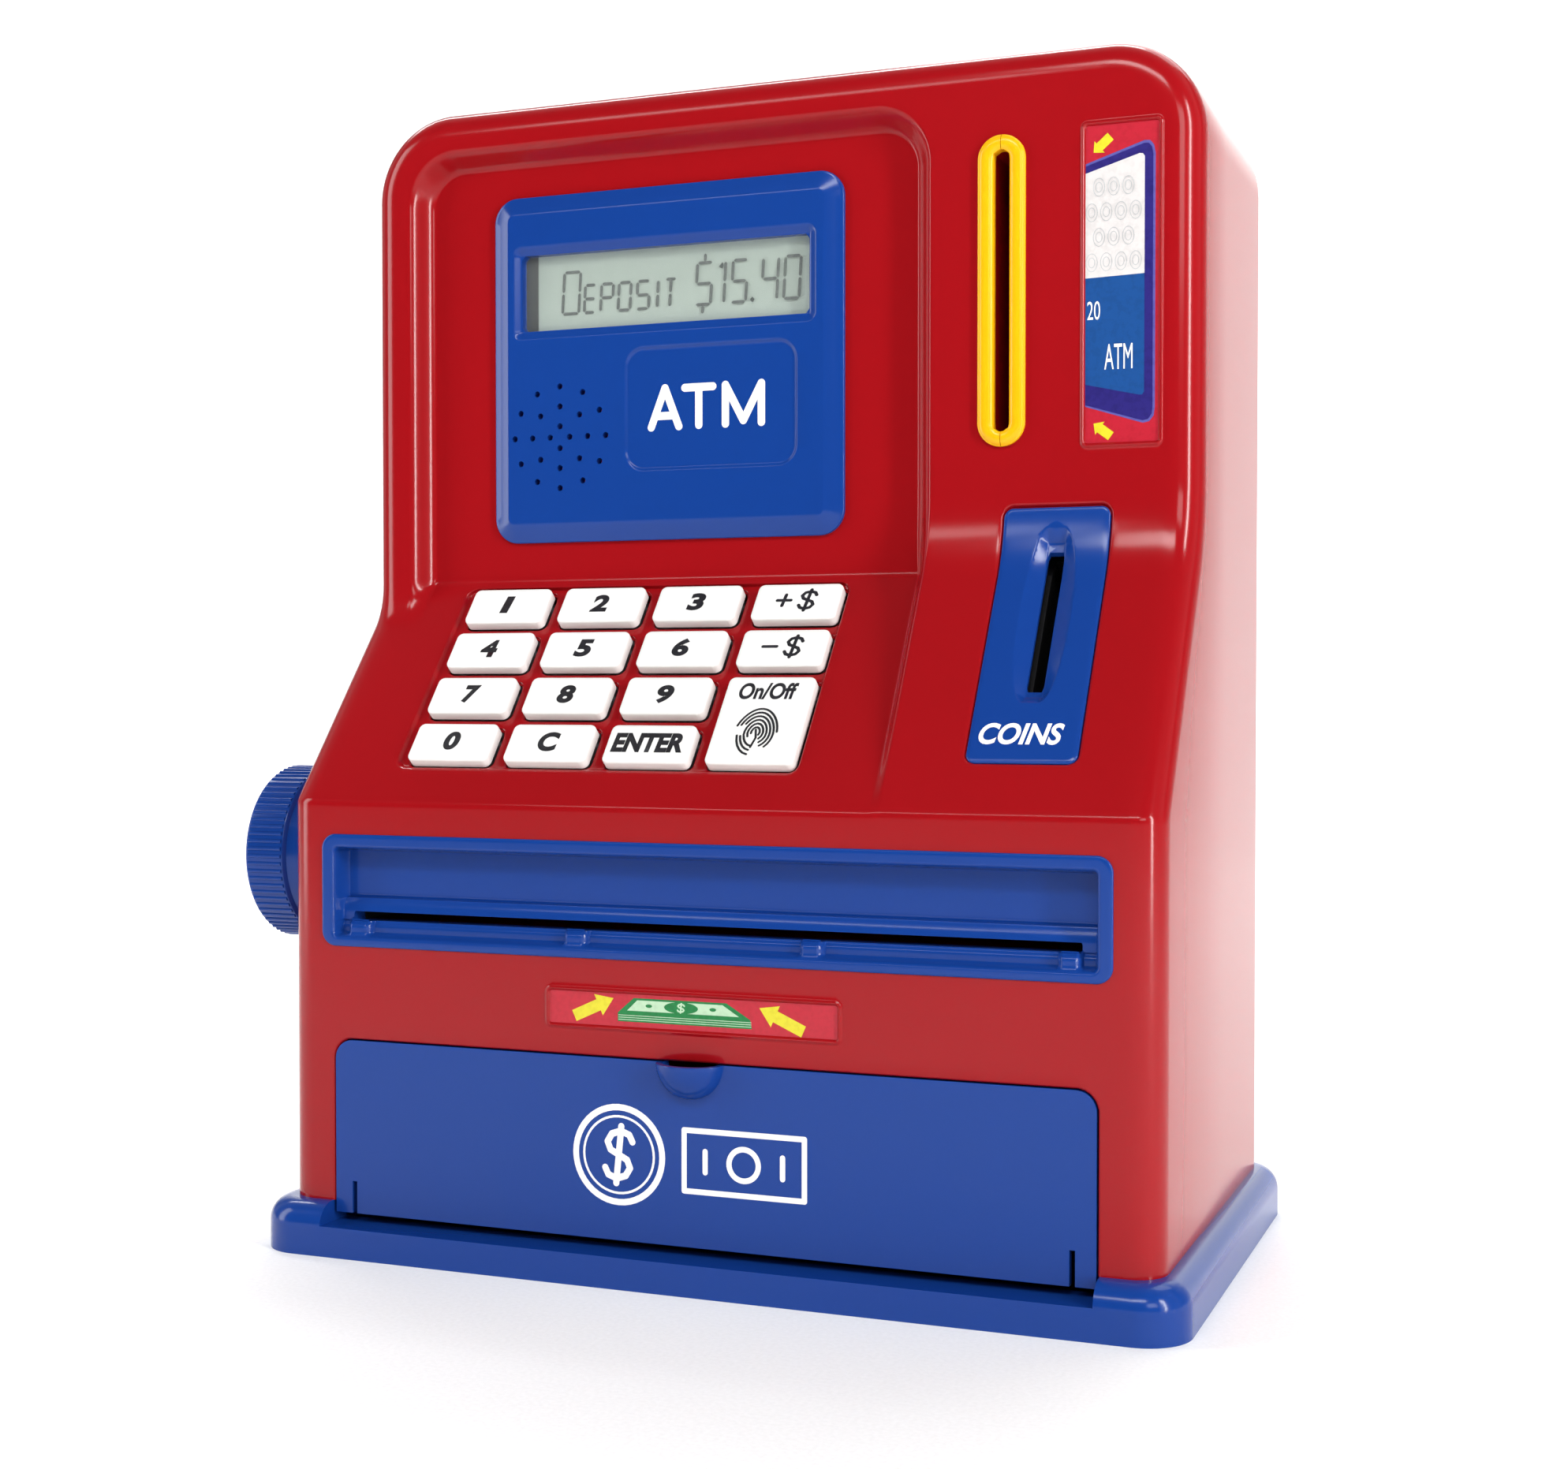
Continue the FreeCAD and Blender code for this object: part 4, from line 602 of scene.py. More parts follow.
# Power key sign: two small words over a fingerprint, whose ridges are arcs round one centre with a few short arcs
# to the lower left. All of it is printed on the largest cap.
power_sign = lettering("power_sign", "On/Off", (4.6, 20.4, 33.4, 38.8), SIGN_DEPTH, key_ink, 0.08, 0.03)
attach(laid(power_sign, KEY_LEAN), "button_power")
PRINT_CENTRE = (12.4, 22.9)
RIDGE_FIRST, RIDGE_PITCH = 1.15, 0.92
ridges = [[(12.3, 23.6), (12.9, 21.0), (12.2, 18.0)]]
for ridge, (start, end) in enumerate(((-40, 200), (-55, 215), (-60, 195), (-62, 150), (-50, 160), (0, 165))):
    reach = RIDGE_FIRST + RIDGE_PITCH * ridge
    line = []
    for a in np.radians(np.linspace(start, end, 9 + 3 * ridge)):
        across = reach * math.cos(a) * (1 - 0.12 * math.sin(a))
        line.append((PRINT_CENTRE[0] + across, PRINT_CENTRE[1] + reach * math.sin(a) * 1.28))
    ridges.append(line)
for ridge in (2, 3, 4):
    reach = RIDGE_FIRST + RIDGE_PITCH * ridge
    turns = np.radians(np.linspace(206 - 4 * ridge, 262, 6))
    line = [(PRINT_CENTRE[0] + reach * math.cos(a), PRINT_CENTRE[1] + reach * math.sin(a) * 1.5) for a in turns]
    ridges.append(line)
outlines = [stroke_outline(ridge, 0.6) for ridge in ridges]
fingerprint = printed_shapes("fingerprint_sign", outlines, SIGN_DEPTH, key_ink)
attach(laid(fingerprint, KEY_LEAN), "button_power")

# Display bezel: a blue ABS cushion-edged plate in the recess. It frames the display window, holds the name panel
# and is drilled in three rings of holes in front of the speaker.
BEZEL = (-80.8, 23.2, 190.0, 286.1)
WINDOW = (-71.9, 13.7, 248.7, 269.7)
NAME_PANEL = (-39.4, 10.3, 209.1, 242.0)
SPEAKER = (-59.6, 218.9)


def bezel_front(x, z):
    """Depth of the bezel: a cushioned border, a bevelled window and a shallow sunken name panel."""
    from_edge = np.clip(inside_by(x, z, BEZEL, 7) / 5.2, 0, 1)
    depth = -21.4 + 2.0 * (1 - from_edge) ** 1.12
    to_window = np.clip(inside_by(x, z, grown(WINDOW, 2.4), 2.6) / 2.4, 0, 1)
    depth = depth + 1.35 * (0.7 * to_window + 0.3 * eased(to_window))
    return depth + 0.55 * eased(0.5 + inside_by(x, z, NAME_PANEL, 5.2) / 1.1)


def made_by_nodes(name, inputs, build):
    """A plain mesh made by a Geometry Nodes tree. Each named input has its kind of socket and its value, and build
    adds the nodes that lead from the inputs to the instances."""
    group = bpy.data.node_groups.new(name, "GeometryNodeTree")
    for label, given in inputs.items():
        group.interface.new_socket(label, in_out="INPUT", socket_type="NodeSocket" + given[0])
    group.interface.new_socket("Geometry", in_out="OUTPUT", socket_type="NodeSocketGeometry")
    given = add_node(group, "NodeGroupInput").outputs
    instances = build(group, given).outputs["Instances"]
    realized = add_node(group, "GeometryNodeRealizeInstances", {"Geometry": instances}).outputs["Geometry"]
    painted = add_node(group, "GeometryNodeSetMaterial", {"Geometry": realized, "Material": given["Material"]})
    add_node(group, "NodeGroupOutput", {"Geometry": painted.outputs["Geometry"]})
    piece = placed(name, bpy.data.meshes.new(name))
    maker = piece.modifiers.new("maker", "NODES")
    maker.node_group = group
    for item in group.interface.items_tree:
        if item.in_out == "INPUT":
            maker[item.identifier] = inputs[item.name][1]
    return settle(piece)


def ring_of_rods(name, count, ring, rod, length, sides, material):
    """A ring of equal round rods that stand along Z, each on its own point of a circle. Sizes in millimetres."""

    def build(group, given):
        circle_sizes = {"Vertices": given["Count"], "Radius": given["Ring Radius"]}
        circle = add_node(group, "GeometryNodeMeshCircle", circle_sizes)
        rod_sizes = {"Vertices": given["Sides"], "Radius": given["Rod Radius"], "Depth": given["Rod Length"]}
        rod_shape = add_node(group, "GeometryNodeMeshCylinder", rod_sizes)
        pattern = {"Points": circle.outputs["Mesh"], "Instance": rod_shape.outputs["Mesh"]}
        return add_node(group, "GeometryNodeInstanceOnPoints", pattern)

    sizes = {"Count": ("Int", count), "Sides": ("Int", sides), "Ring Radius": ("Float", ring * MM)}
    sizes.update({"Rod Radius": ("Float", rod * MM), "Rod Length": ("Float", length * MM)})
    return made_by_nodes(name, {**sizes, "Material": ("Material", material)}, build)


bezel = relief("display_bezel_moulding", BEZEL, 7, bezel_front, -17.4, 0.5)
hole_makers = [plug("window_cut", WINDOW, 1.0, -30, -10)]
hole_centre = Matrix.Translation(Vector((SPEAKER[0], -20, SPEAKER[1])) * MM)
for hole_count, hole_ring in ((4, 3.0), (8, 8.5), (12, 14.0)):
    drills = ring_of_rods(f"drills_{hole_count}", hole_count, hole_ring, 0.85, 20, 20, blue_abs)
    drills.data.transform(hole_centre @ Matrix.Rotation(math.pi / 2, 4, "X"))
    hole_makers.append(drills)
made_of(carved(bezel, hole_makers), blue_abs)
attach(bezel, "housing")
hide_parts("display_bezel")

# White pad ink: a solid, slightly raised film, duller than the blue round it.
white_ink = printed_ink("white_pad_ink", "#F8F8F6", "#F0F0EE")
NAME_STROKES = [
    [(-32.0, 220.4), (-27.9, 230.9), (-23.8, 220.4)],
    [(-30.6, 223.4), (-25.2, 223.4)],
    [(-22.0, 230.7), (-13.8, 230.7)],
    [(-17.9, 230.7), (-17.9, 220.5)],
    [(-10.1, 220.5), (-10.1, 230.9), (-4.9, 221.2), (0.3, 230.9), (0.3, 220.5)],
]
name_outlines = [stroke_outline(line, 2.15) for line in NAME_STROKES]
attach(printed_shapes("name_print", name_outlines, -20.9, white_ink), "housing")

# Display: a reflective liquid crystal glass behind a clear acrylic window. The glass is a silvery grey green,
# with painted shade a little darker towards its top, and a black line of painted shade at its left end.
GLASS_TONE_AND_SHADE_STOPS = ((0.1, "#A3B0A6"), (1.0, "#93A096"))
tree, spot, close = new_material("grey_display_glass")
across = add_node(tree, "ShaderNodeSeparateXYZ", {0: spot})
edge = add_node(tree, "ShaderNodeMapRange", {0: across.outputs["X"], 1: -68.4 * MM, 2: -68.0 * MM})
# Painted shade: the glass darkens from the foot of the window towards its top.
painted_top_shade = add_node(tree, "ShaderNodeMapRange", {0: across.outputs["Z"], 1: 246 * MM, 2: 272 * MM})
grain = add_node(tree, "ShaderNodeTexNoise", {"Vector": spot, "Scale": 1 / (0.35 * MM), "Detail": 2.0})
terms = {0: grain.outputs[0], 1: 0.35, 2: painted_top_shade.outputs[0]}
grain_and_top_shade = add_node(tree, "ShaderNodeMath", terms, operation="MULTIPLY_ADD")
glass_tone_and_shade = add_node(tree, "ShaderNodeValToRGB", {"Fac": grain_and_top_shade.outputs[0]}, stops=GLASS_TONE_AND_SHADE_STOPS)
# Painted shade: black is mixed in left of the edge, where the gap behind the window's left edge lies in shade.
glass_and_gap_shade = {0: edge.outputs[0], 6: linear("#0B0B0D"), 7: glass_tone_and_shade.outputs[0]}
gap = add_node(tree, "ShaderNodeMix", glass_and_gap_shade, data_type="RGBA")
display_glass = close({"Base Color": gap.outputs[2], "Roughness": 0.32, "IOR": 1.5})
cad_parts["display_module"].data.materials.clear()
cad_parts["display_module"].data.materials.append(display_glass)

# Clear acrylic: almost unseen, with a faint uneven polish that shows only where it mirrors a lamp.
tree, spot, close = new_material("clear_acrylic_window")
haze = add_node(tree, "ShaderNodeTexNoise", {"Vector": spot, "Scale": 1 / (6 * MM), "Detail": 2.0})
polish = add_node(tree, "ShaderNodeMapRange", {0: haze.outputs[0], 3: 0.03, 4: 0.09}).outputs[0]
clear_acrylic = close({"Base Color": linear("#E8EFEB"), "Roughness": polish, "IOR": 1.49, "Alpha": 0.06})
SHEET = (-74.4, 15.8, 246.7, 271.9)
window_sheet = relief("display_window", SHEET, 1.2, lambda x, z: 0 * x - 18.35, -17.75, 0.1)
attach(made_of(window_sheet, clear_acrylic), "housing")
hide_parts("display_lens")

# Display sign: DEPOSIT $15.40 in the dark segments of the liquid crystal. Each segment is a bar with pointed ends,
# and each sign lights some of them: its segments, its left edge, its width and its height.
SIGN_FOOT, SIGN_LEAN = 253.4, 0.06
SEGMENT_WIDTH, SEGMENT_GAP, BAR_GAP = 0.86, 0.12, 0.3
SEGMENT_ENDS = {
    "a": ((0, 2), (1, 2)), "b": ((1, 2), (1, 1)), "c": ((1, 1), (1, 0)), "d": ((0, 0), (1, 0)),
    "e": ((0, 1), (0, 0)), "f": ((0, 2), (0, 1)), "g": ((0, 1), (1, 1)), "i": ((0.5, 2), (0.5, 1)),
    "j": ((0.5, 1), (0.5, 0)), "u": ((0.5, 2.5), (0.5, 2)), "v": ((0.5, 0), (0.5, -0.5)),
}
DISPLAY_SIGNS = (
    ("abcdef", -60.7, 5.0, 11.4), ("adefg", -54.0, 3.2, 7.5), ("abefg", -49.0, 3.6, 7.5),
    ("abcdef", -43.6, 3.6, 7.5), ("afgcd", -38.0, 3.6, 7.5), ("ij", -33.6, 3.6, 7.5), ("aij", -29.6, 3.2, 7.5),
    ("afgcduv", -20.3, 4.4, 11.2), ("bc", -16.2, 4.2, 11.2), ("afgcd", -9.8, 4.2, 11.2),
    ("fgbc", -1.0, 4.4, 11.2), ("abcdef", 5.4, 4.4, 11.2),
)


def segment(start, end, width, gap):
    """One display segment: a bar between two points with a pointed end at each."""
    along = (Vector(end) - Vector(start)).normalized()
    side = Vector((-along.y, along.x)) * width / 2
    first, last = Vector(start) + along * gap, Vector(end) - along * gap
    near, far = first + along * width / 2, last - along * width / 2
    return [first, near + side, far + side, last, far - side, near - side]


segments = []
for lit, left, wide, tall in DISPLAY_SIGNS:
    for letter in lit:
        ends = []
        for x, z in SEGMENT_ENDS[letter]:
            ends.append((left + wide * x + SIGN_LEAN * tall * z / 2, SIGN_FOOT + tall * z / 2))
        segments.append(segment(*ends, SEGMENT_WIDTH, BAR_GAP if letter in "uv" else SEGMENT_GAP))
segments.append([(-4.3, 253.8), (-3.6, 254.6), (-2.9, 253.8), (-3.6, 253.0)])
segments.append([(-13.4, 263.2), (-12.2, 264.4), (-11.9, 263.4), (-12.2, 262.6)])
# Switched-on liquid crystal: a soft charcoal, never quite black.
segment_ink = printed_ink("liquid_crystal", "#3F4643", "#4A524E", 0.35)
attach(printed_shapes("display_segments", segments, -17.42, segment_ink), "housing")

# Coin plate: a blue ABS plate let into the leaning column. A lens-shaped dish leads a coin into its upright slot,
# and the word under it is printed in white.
SLOT = (80.1, 84.4, 35.5, 76.4)


def coin_front(x, up):
    """Depth of the coin plate over the column's slope: flat, then bent with it, with a dish round the slot."""
    bend = np.maximum(up - 67.6, 0)
    depth = -0.2 - (COLUMN_BEND - np.sqrt(COLUMN_BEND**2 - np.minimum(bend, COLUMN_BEND - 1) ** 2))
    edge = np.clip(inside_by(x, up, COIN_PLATE, 2.4) / 1.2, 0, 1)
    depth = depth + 0.35 * (1 - edge) ** 2
    off = np.clip(np.abs(up - 56.4) / 25.2, 0, 1)
    lens = 0.05 + 4.4 * np.sqrt(1 - off**2)
    out = (np.abs(x - 82.25) - 2.15) / lens
    return depth + 2.3 * np.clip(1 - out, 0, 1) * np.clip((1 - off) * 9, 0, 1)


coin_plate = relief("coin_plate_moulding", COIN_PLATE, 2.4, coin_front, 3.0, 0.5)
carved(coin_plate, [plug("slot_cut", SLOT, 0.4, -9, 9)])
made_of(laid(coin_plate, COLUMN_LEAN), blue_abs)
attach(coin_plate, "housing")
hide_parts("coin_plate")
coin_word = lettering("coin_word", "COINS", (70.9, 91.7, 19.4, 25.4), -0.24, white_ink, 0.24, 0.03)
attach(laid(coin_word, COLUMN_LEAN), "housing")

# Card guides: two yellow ABS halves that meet in a fine split at the top and the bottom of the card slot. Their
# raised border is rounded like a bead.
# Yellow ABS, self-coloured: a warm golden yellow with the same polished skin as the red.
yellow_abs = moulded_abs("yellow_moulded_abs", "#F2B40E", "#ECAC0B", 0.2)
GUIDE = (61.3, 73.7, 210.8, 289.4)


def guide_front(x, z):
    """Depth of the guides' beaded border."""
    across = np.clip(np.minimum(inside_by(x, z, GUIDE, 6.1), 4.2) / 4.2, 0, 1)
    return -26.2 + 1.5 * (1 - np.sqrt(1 - (2 * across - 1) ** 2 * 0.98))


for guide_name, half_cut in (("left", (67.42, 80, 200, 300)), ("right", (55, 67.58, 200, 300))):
    guide = relief("card_guide_bead_" + guide_name, GUIDE, 6.1, guide_front, -22.6, 0.3)
    slot_cut = plug("card_slot_cut", (65.3, 69.7, 214.6, 285.6), 1.6, -40, 0)
    carved(guide, [slot_cut, plug("half_cut", half_cut, 0.1, -40, 0)])
    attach(made_of(guide, yellow_abs), "housing")
    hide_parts("card_guide_" + guide_name)

# Card channel: the red walls moulded on the inside of the front housing. They lead the card on from the guides, so
# that red shows deep in the slot.
channel = plug("card_channel", (63.4, 71.6, 212.9, 287.3), 2, -22.6, 9)
carved(channel, [plug("card_channel_cut", (65.2, 69.8, 214.5, 285.7), 1.7, -30, 12)])
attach(made_of(channel, red_abs), "housing")

# Card label: a printed self-adhesive label beside the card slot. It shows a bank card half pushed in, and two
# arrows that point towards the slot.


def arrow(tip, tail, shaft, head, spread):
    """An arrow's outline from its tip to its tail."""
    along = (Vector(tail) - Vector(tip)).normalized()
    side = Vector((-along.y, along.x))
    neck = Vector(tip) + along * head
    one_side = [neck + side * spread, neck + side * shaft, Vector(tail) + side * shaft]
    return [Vector(tip), *one_side, Vector(tail) - side * shaft, neck - side * shaft, neck - side * spread]


def label_piece(name, outlines, layer, material, front):
    """A printed layer of a label, on the housing."""
    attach(printed_shapes(name, outlines, front - 0.03 * layer, material), "housing")


# Label inks: flat process colours under a thin clear film, so a little glossier than the pad inks.
red_print = printed_ink("red_label_print", "#B71D30", "#AF1A2C", 0.3)
arrow_print = printed_ink("yellow_label_print", "#DACF2C", "#D2C626", 0.3)
indigo_print = printed_ink("indigo_label_print", "#2A2272", "#241D68", 0.28)
edge_print = printed_ink("light_indigo_label_print", "#5A57A0", "#524F98", 0.28)
pale_print = printed_ink("pale_label_print", "#D9D5D3", "#D3CFCD", 0.3)
line_print = printed_ink("grey_label_print", "#BCC0C2", "#B5B9BB", 0.3)
card_print = printed_ink("blue_label_print", "#154A8C", "#124583", 0.3)
CARD_FRONT = -24.34
card_ground = [(89, 210.7), (107.5, 210.7), (107.5, 289.6), (89, 289.6)]
label_piece("card_label_ground", [card_ground], 0, red_print, CARD_FRONT)
card_arrows = [arrow((91.0, 282.9), (95.3, 286.6), 1.2, 2.0, 2.0)]
card_arrows.append(arrow((91.2, 215.6), (95.6, 212.3), 1.2, 2.0, 2.0))
label_piece("card_label_arrows", card_arrows, 1, arrow_print, CARD_FRONT)
card_edge = [(89, 219.9), (103.6, 215.3), (105.2, 215.6), (106.3, 217.0), (106.6, 219.0)]
card_edge += [(106.6, 281.6), (106.2, 283.6), (105.2, 284.8), (103.8, 284.9), (89, 280.2)]
label_piece("card_label_rim", [card_edge], 1, edge_print, CARD_FRONT)
inner_edge = [(89, 220.3), (103.5, 215.9), (104.9, 216.2), (105.8, 217.4), (106.0, 219.2)]
inner_edge += [(106.0, 281.4), (105.7, 283.1), (104.9, 284.1), (103.7, 284.2), (89, 279.6)]
label_piece("card_label_border", [inner_edge], 2, indigo_print, CARD_FRONT)
upper = [(89, 251.8), (103.9, 252.2), (103.9, 281.0), (103.4, 281.7), (102.6, 281.8), (89, 277.8)]
lower = [(89, 225.4), (102.6, 222.3), (103.4, 222.3), (103.9, 223.0), (103.9, 252.2), (89, 251.8)]
label_piece("card_label_pale_half", [upper], 3, pale_print, CARD_FRONT)
label_piece("card_label_blue_half", [lower], 3, card_print, CARD_FRONT)
rings = []
for row in range(4):
    for place in range(4):
        middle_x, middle_z = 90.6 + 3.7 * place + 1.85 * (row % 2), 255.6 + 6.2 * row
        if middle_x + 1.5 < 103.6:
            for size in (1.45, 0.8):
                turns = np.radians(range(0, 361, 24))
                outer = [(middle_x + size * math.cos(a), middle_z + 1.55 * size * math.sin(a)) for a in turns]
                rings += [stroke_outline(outer, 0.16)]
label_piece("card_label_rings", rings, 4, line_print, CARD_FRONT)
card_word = lettering("card_label_word", "ATM", (93.9, 101.0, 228.9, 235.2), CARD_FRONT - 0.13, white_ink)
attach(card_word, "housing")
card_number = lettering("card_label_number", "20", (89.5, 92.8, 241.4, 246.0), CARD_FRONT - 0.13, white_ink)
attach(card_number, "housing")
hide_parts("card_label")

# Note label: a printed self-adhesive label in a shallow frame under the note slot. It shows a stack of notes
# between two arrows that point to the slot.
NOTE_FRONT = -67.42
green_print = printed_ink("green_label_print", "#0B7A3B", "#097035", 0.3)
mint_print = printed_ink("mint_label_print", "#B7D6B4", "#AFCEAC", 0.3)
label_piece("note_label_ground", [[(-39, 64.6), (39, 64.6), (39, 73), (-39, 73)]], 0, red_print, NOTE_FRONT)
note_arrows = [arrow((-21.0, 71.6), (-32.0, 66.6), 1.5, 4.6, 2.9)]
note_arrows.append(arrow((18.6, 71.2), (30.2, 66.0), 1.5, 4.6, 2.9))
label_piece("note_label_arrows", note_arrows, 1, arrow_print, NOTE_FRONT)
sheets = [[(-19.8, 65.9), (16.6, 65.9), (16.2, 68.1), (9.8, 71.9), (-15.4, 71.9), (-19.8, 68.1)]]
label_piece("note_label_stack", sheets, 1, green_print, NOTE_FRONT)
edges = [[(-19.6, z), (16.5, z), (16.45, z + 0.18), (-19.6, z + 0.18)] for z in (66.3, 66.85, 67.4)]
label_piece("note_label_sheet_edges", edges, 2, mint_print, NOTE_FRONT)
note_face = [(-17.2, 68.7), (13.2, 68.7), (8.8, 71.4), (-14.4, 71.4)]
label_piece("note_label_face", [note_face], 2, mint_print, NOTE_FRONT)
oval = [(-2.4 + 4.6 * math.cos(a), 70.05 + 1.45 * math.sin(a)) for a in np.radians(range(0, 360, 12))]
spot_turns = np.radians(range(0, 360, 24))
spots = [[(x + 0.9 * math.cos(a), 70.1 + 0.45 * math.sin(a)) for a in spot_turns] for x in (-11.2, 6.2)]
label_piece("note_label_oval", [oval, *spots], 3, green_print, NOTE_FRONT)
note_dollar = [stroke_outline(line, 0.42) for line in dollar_strokes(-3.4, -1.4, 68.9, 71.2)]
note_sign = printed_shapes("note_label_sign", note_dollar, NOTE_FRONT - 0.13, mint_print)
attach(note_sign, "housing")
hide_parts("note_label")

# Note bezel: the wide blue ABS frame of the note slot. Its panel slopes back to a soft lip over the slot, and four
# round-topped tabs on the bar below it keep a note flat.
NOTE_BEZEL = (-106.5, 106.5, 81.3, 111.0)
TABS = ((-99.6, -92.3), (-35.8, -28.8), (28.4, 35.0), (92.8, 99.0))


def note_front(x, z):
    """Depth of the note bezel: frame, sloping panel, lip, bar and tabs."""
    panel = -64.9 + (107.6 - z) * 0.24
    lip = -63.4 - 1.3 * (1 - np.clip((z - 90.2) / 3.6, 0, 1) ** 2)
    deep = np.where(z > 93.9, np.maximum(panel, -63.4 + 1.6 * eased((z - 93.6) / 1.3)), lip)
    bar = -64.9 + 0.7 * np.clip((z - 86.4) / 1.2, 0, 1) ** 2
    deep = np.where(z < 88.2, bar, deep)
    for low, high in TABS:
        tab = inside_by(x, z, (low, high, 83.2, 88.9), 1.4)
        deep = deep - 2.3 * np.sqrt(np.clip(tab / 1.5, 0, 1)) * (z < 89.2)
    edge = np.clip(inside_by(x, z, NOTE_BEZEL, 4) / 1.0, 0, 1)
    face = -68.3 + 0.3 * (1 - edge) ** 2
    inner = inside_by(x, z, (-102.8, 102.8, 84.0, 107.4), 1.2)
    rounded = face + 0.6 * (1 - np.clip(-inner / 0.8, 0, 1)) ** 2
    return np.where(inner < 0, rounded, rounded + (deep - rounded) * np.clip(inner / 0.9, 0, 1))


note_bezel = relief("note_bezel_moulding", NOTE_BEZEL, 4, note_front, -59.6, 0.5)
carved(note_bezel, [plug("note_slot_cut", (-98.6, 98.6, 88.0, 90.4), 0.3, -66, -50)])
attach(made_of(note_bezel, blue_abs), "housing")
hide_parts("note_bezel")

# Cash door: a blue ABS flap hinged along its foot, with a half-bowl pull at the top. A coin with a dollar sign and
# the outline of a note are printed on it in white.
moulding_from("cash_door", "cash_door_moulding", blue_abs, "door", 0.25)
DOOR_FRONT = -67.64
COIN = (-19.5, 32.2)


def arc_line(centre, radius, start, end):
    """Points along an arc, with its start and end in degrees."""
    turns = np.radians(np.linspace(start, end, 25))
    return [(centre[0] + radius * math.cos(a), centre[1] + radius * math.sin(a)) for a in turns]


sign_lines = [(arc_line(COIN, 12.0, 0, 180), 1.6), (arc_line(COIN, 12.0, 180, 360), 1.6)]
sign_lines += [(arc_line(COIN, 9.7, 0, 180), 0.6), (arc_line(COIN, 9.7, 180, 360), 0.6)]
sign_lines += [(line, 1.7) for line in dollar_strokes(COIN[0] - 4.0, COIN[0] + 4.0, COIN[1] - 7.2, COIN[1] + 7.2)]
sign_lines.append(([(-1.5, 24.6), (30.5, 24.6), (30.5, 39.8)], 1.4))
sign_lines.append(([(-1.5, 24.6), (-1.5, 39.8), (30.5, 39.8)], 1.4))
sign_lines += [(arc_line((14.5, 32.2), 3.9, 0, 180), 1.4), (arc_line((14.5, 32.2), 3.9, 180, 360), 1.4)]
sign_lines += [([(x, 29.6), (x, 34.8)], 1.4) for x in (4.2, 24.8)]
coin_sign = [stroke_outline(line, width) for line, width in sign_lines]
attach(printed_shapes("door_coin_sign", coin_sign, DOOR_FRONT, white_ink), "door")

# Knob: a moulded blue ABS hand wheel with a fine ribbed rim, a dished face and a low hub. Its screw holds it on the
# end of the feed shaft.
KNOB_AXIS = Vector((0, -34.6, 103.6))
RIM_PROFILE = (
    (-118.9, 3.1), (-118.9, 21.6), (-119.3, 22.2), (-125.2, 22.5), (-125.7, 23.5), (-126.1, 23.7),
    (-136.9, 23.7), (-137.6, 23.4), (-138.0, 22.7), (-138.0, 21.3), (-137.6, 20.6), (-136.3, 20.1),
    (-135.6, 19.4), (-135.6, 7.2), (-135.9, 6.3), (-136.9, 6.0), (-137.2, 5.6), (-137.2, 3.1),
)


def turned(name, profile, axis, sides=104):
    """A shape turned about an axis along X, from its (x, radius) profile in millimetres."""
    points, faces = [], []
    for turn in range(sides):
        angle = 2 * math.pi * turn / sides
        points += [axis + Vector((x, r * math.cos(angle), r * math.sin(angle))) for x, r in profile]
    count = len(profile)
    for turn in range(sides):
        here, after = turn * count, (turn + 1) % sides * count
        faces += [(here + i, after + i, after + i + 1, here + i + 1) for i in range(count - 1)]
        faces.append((here + count - 1, after + count - 1, after, here))
    piece = solid(name, points, faces)
    shape = bmesh.new()
    shape.from_mesh(piece.data)
    bmesh.ops.recalc_face_normals(shape, faces=shape.faces)
    shape.to_mesh(piece.data)
    shape.free()
    return piece


wheel = even_faces(made_of(turned("knob_wheel", RIM_PROFILE, KNOB_AXIS), blue_abs, 40))
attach(wheel, "feed")
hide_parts("knob")
ribs = ring_of_rods("knob_ribs", 72, 23.5, 0.62, 10.6, 10, blue_abs)
rib_middle = Matrix.Translation((KNOB_AXIS + Vector((-131.5, 0, 0))) * MM)
ribs.data.transform(rib_middle @ Matrix.Rotation(math.pi / 2, 4, "Y"))
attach(smooth_shaded(ribs, 50), "feed")

# Feed mechanism and the rest of the inside: black ABS trays, chute, levers and brackets, rubber rollers on drawn
# steel shafts, a grey silicone key mat, green boards, and a paper-coned speaker.


def plain_surface(name, base, shade, scale, roughness, metallic=0.0, bump=0.1):
    """A surface with a fine grain of its own in tone, gloss and relief, at a scale in millimetres."""
    tree, spot, close = new_material(name)
    grain = add_node(tree, "ShaderNodeTexNoise", {"Vector": spot, "Scale": 1 / (scale * MM), "Detail": 4.0})
    tone = add_node(tree, "ShaderNodeValToRGB", {"Fac": grain.outputs[0]}, stops=((0.3, shade), (0.7, base)))
    gloss = add_node(tree, "ShaderNodeMapRange", {0: grain.outputs[0], 3: roughness - 0.06, 4: roughness + 0.06})
    skin = add_node(tree, "ShaderNodeBump", {"Height": grain.outputs[0], "Strength": bump, "Distance": 0.05 * MM})
    surface = {"Base Color": tone.outputs[0], "Roughness": gloss.outputs[0], "Normal": skin.outputs[0]}
    return close({**surface, "Metallic": metallic})


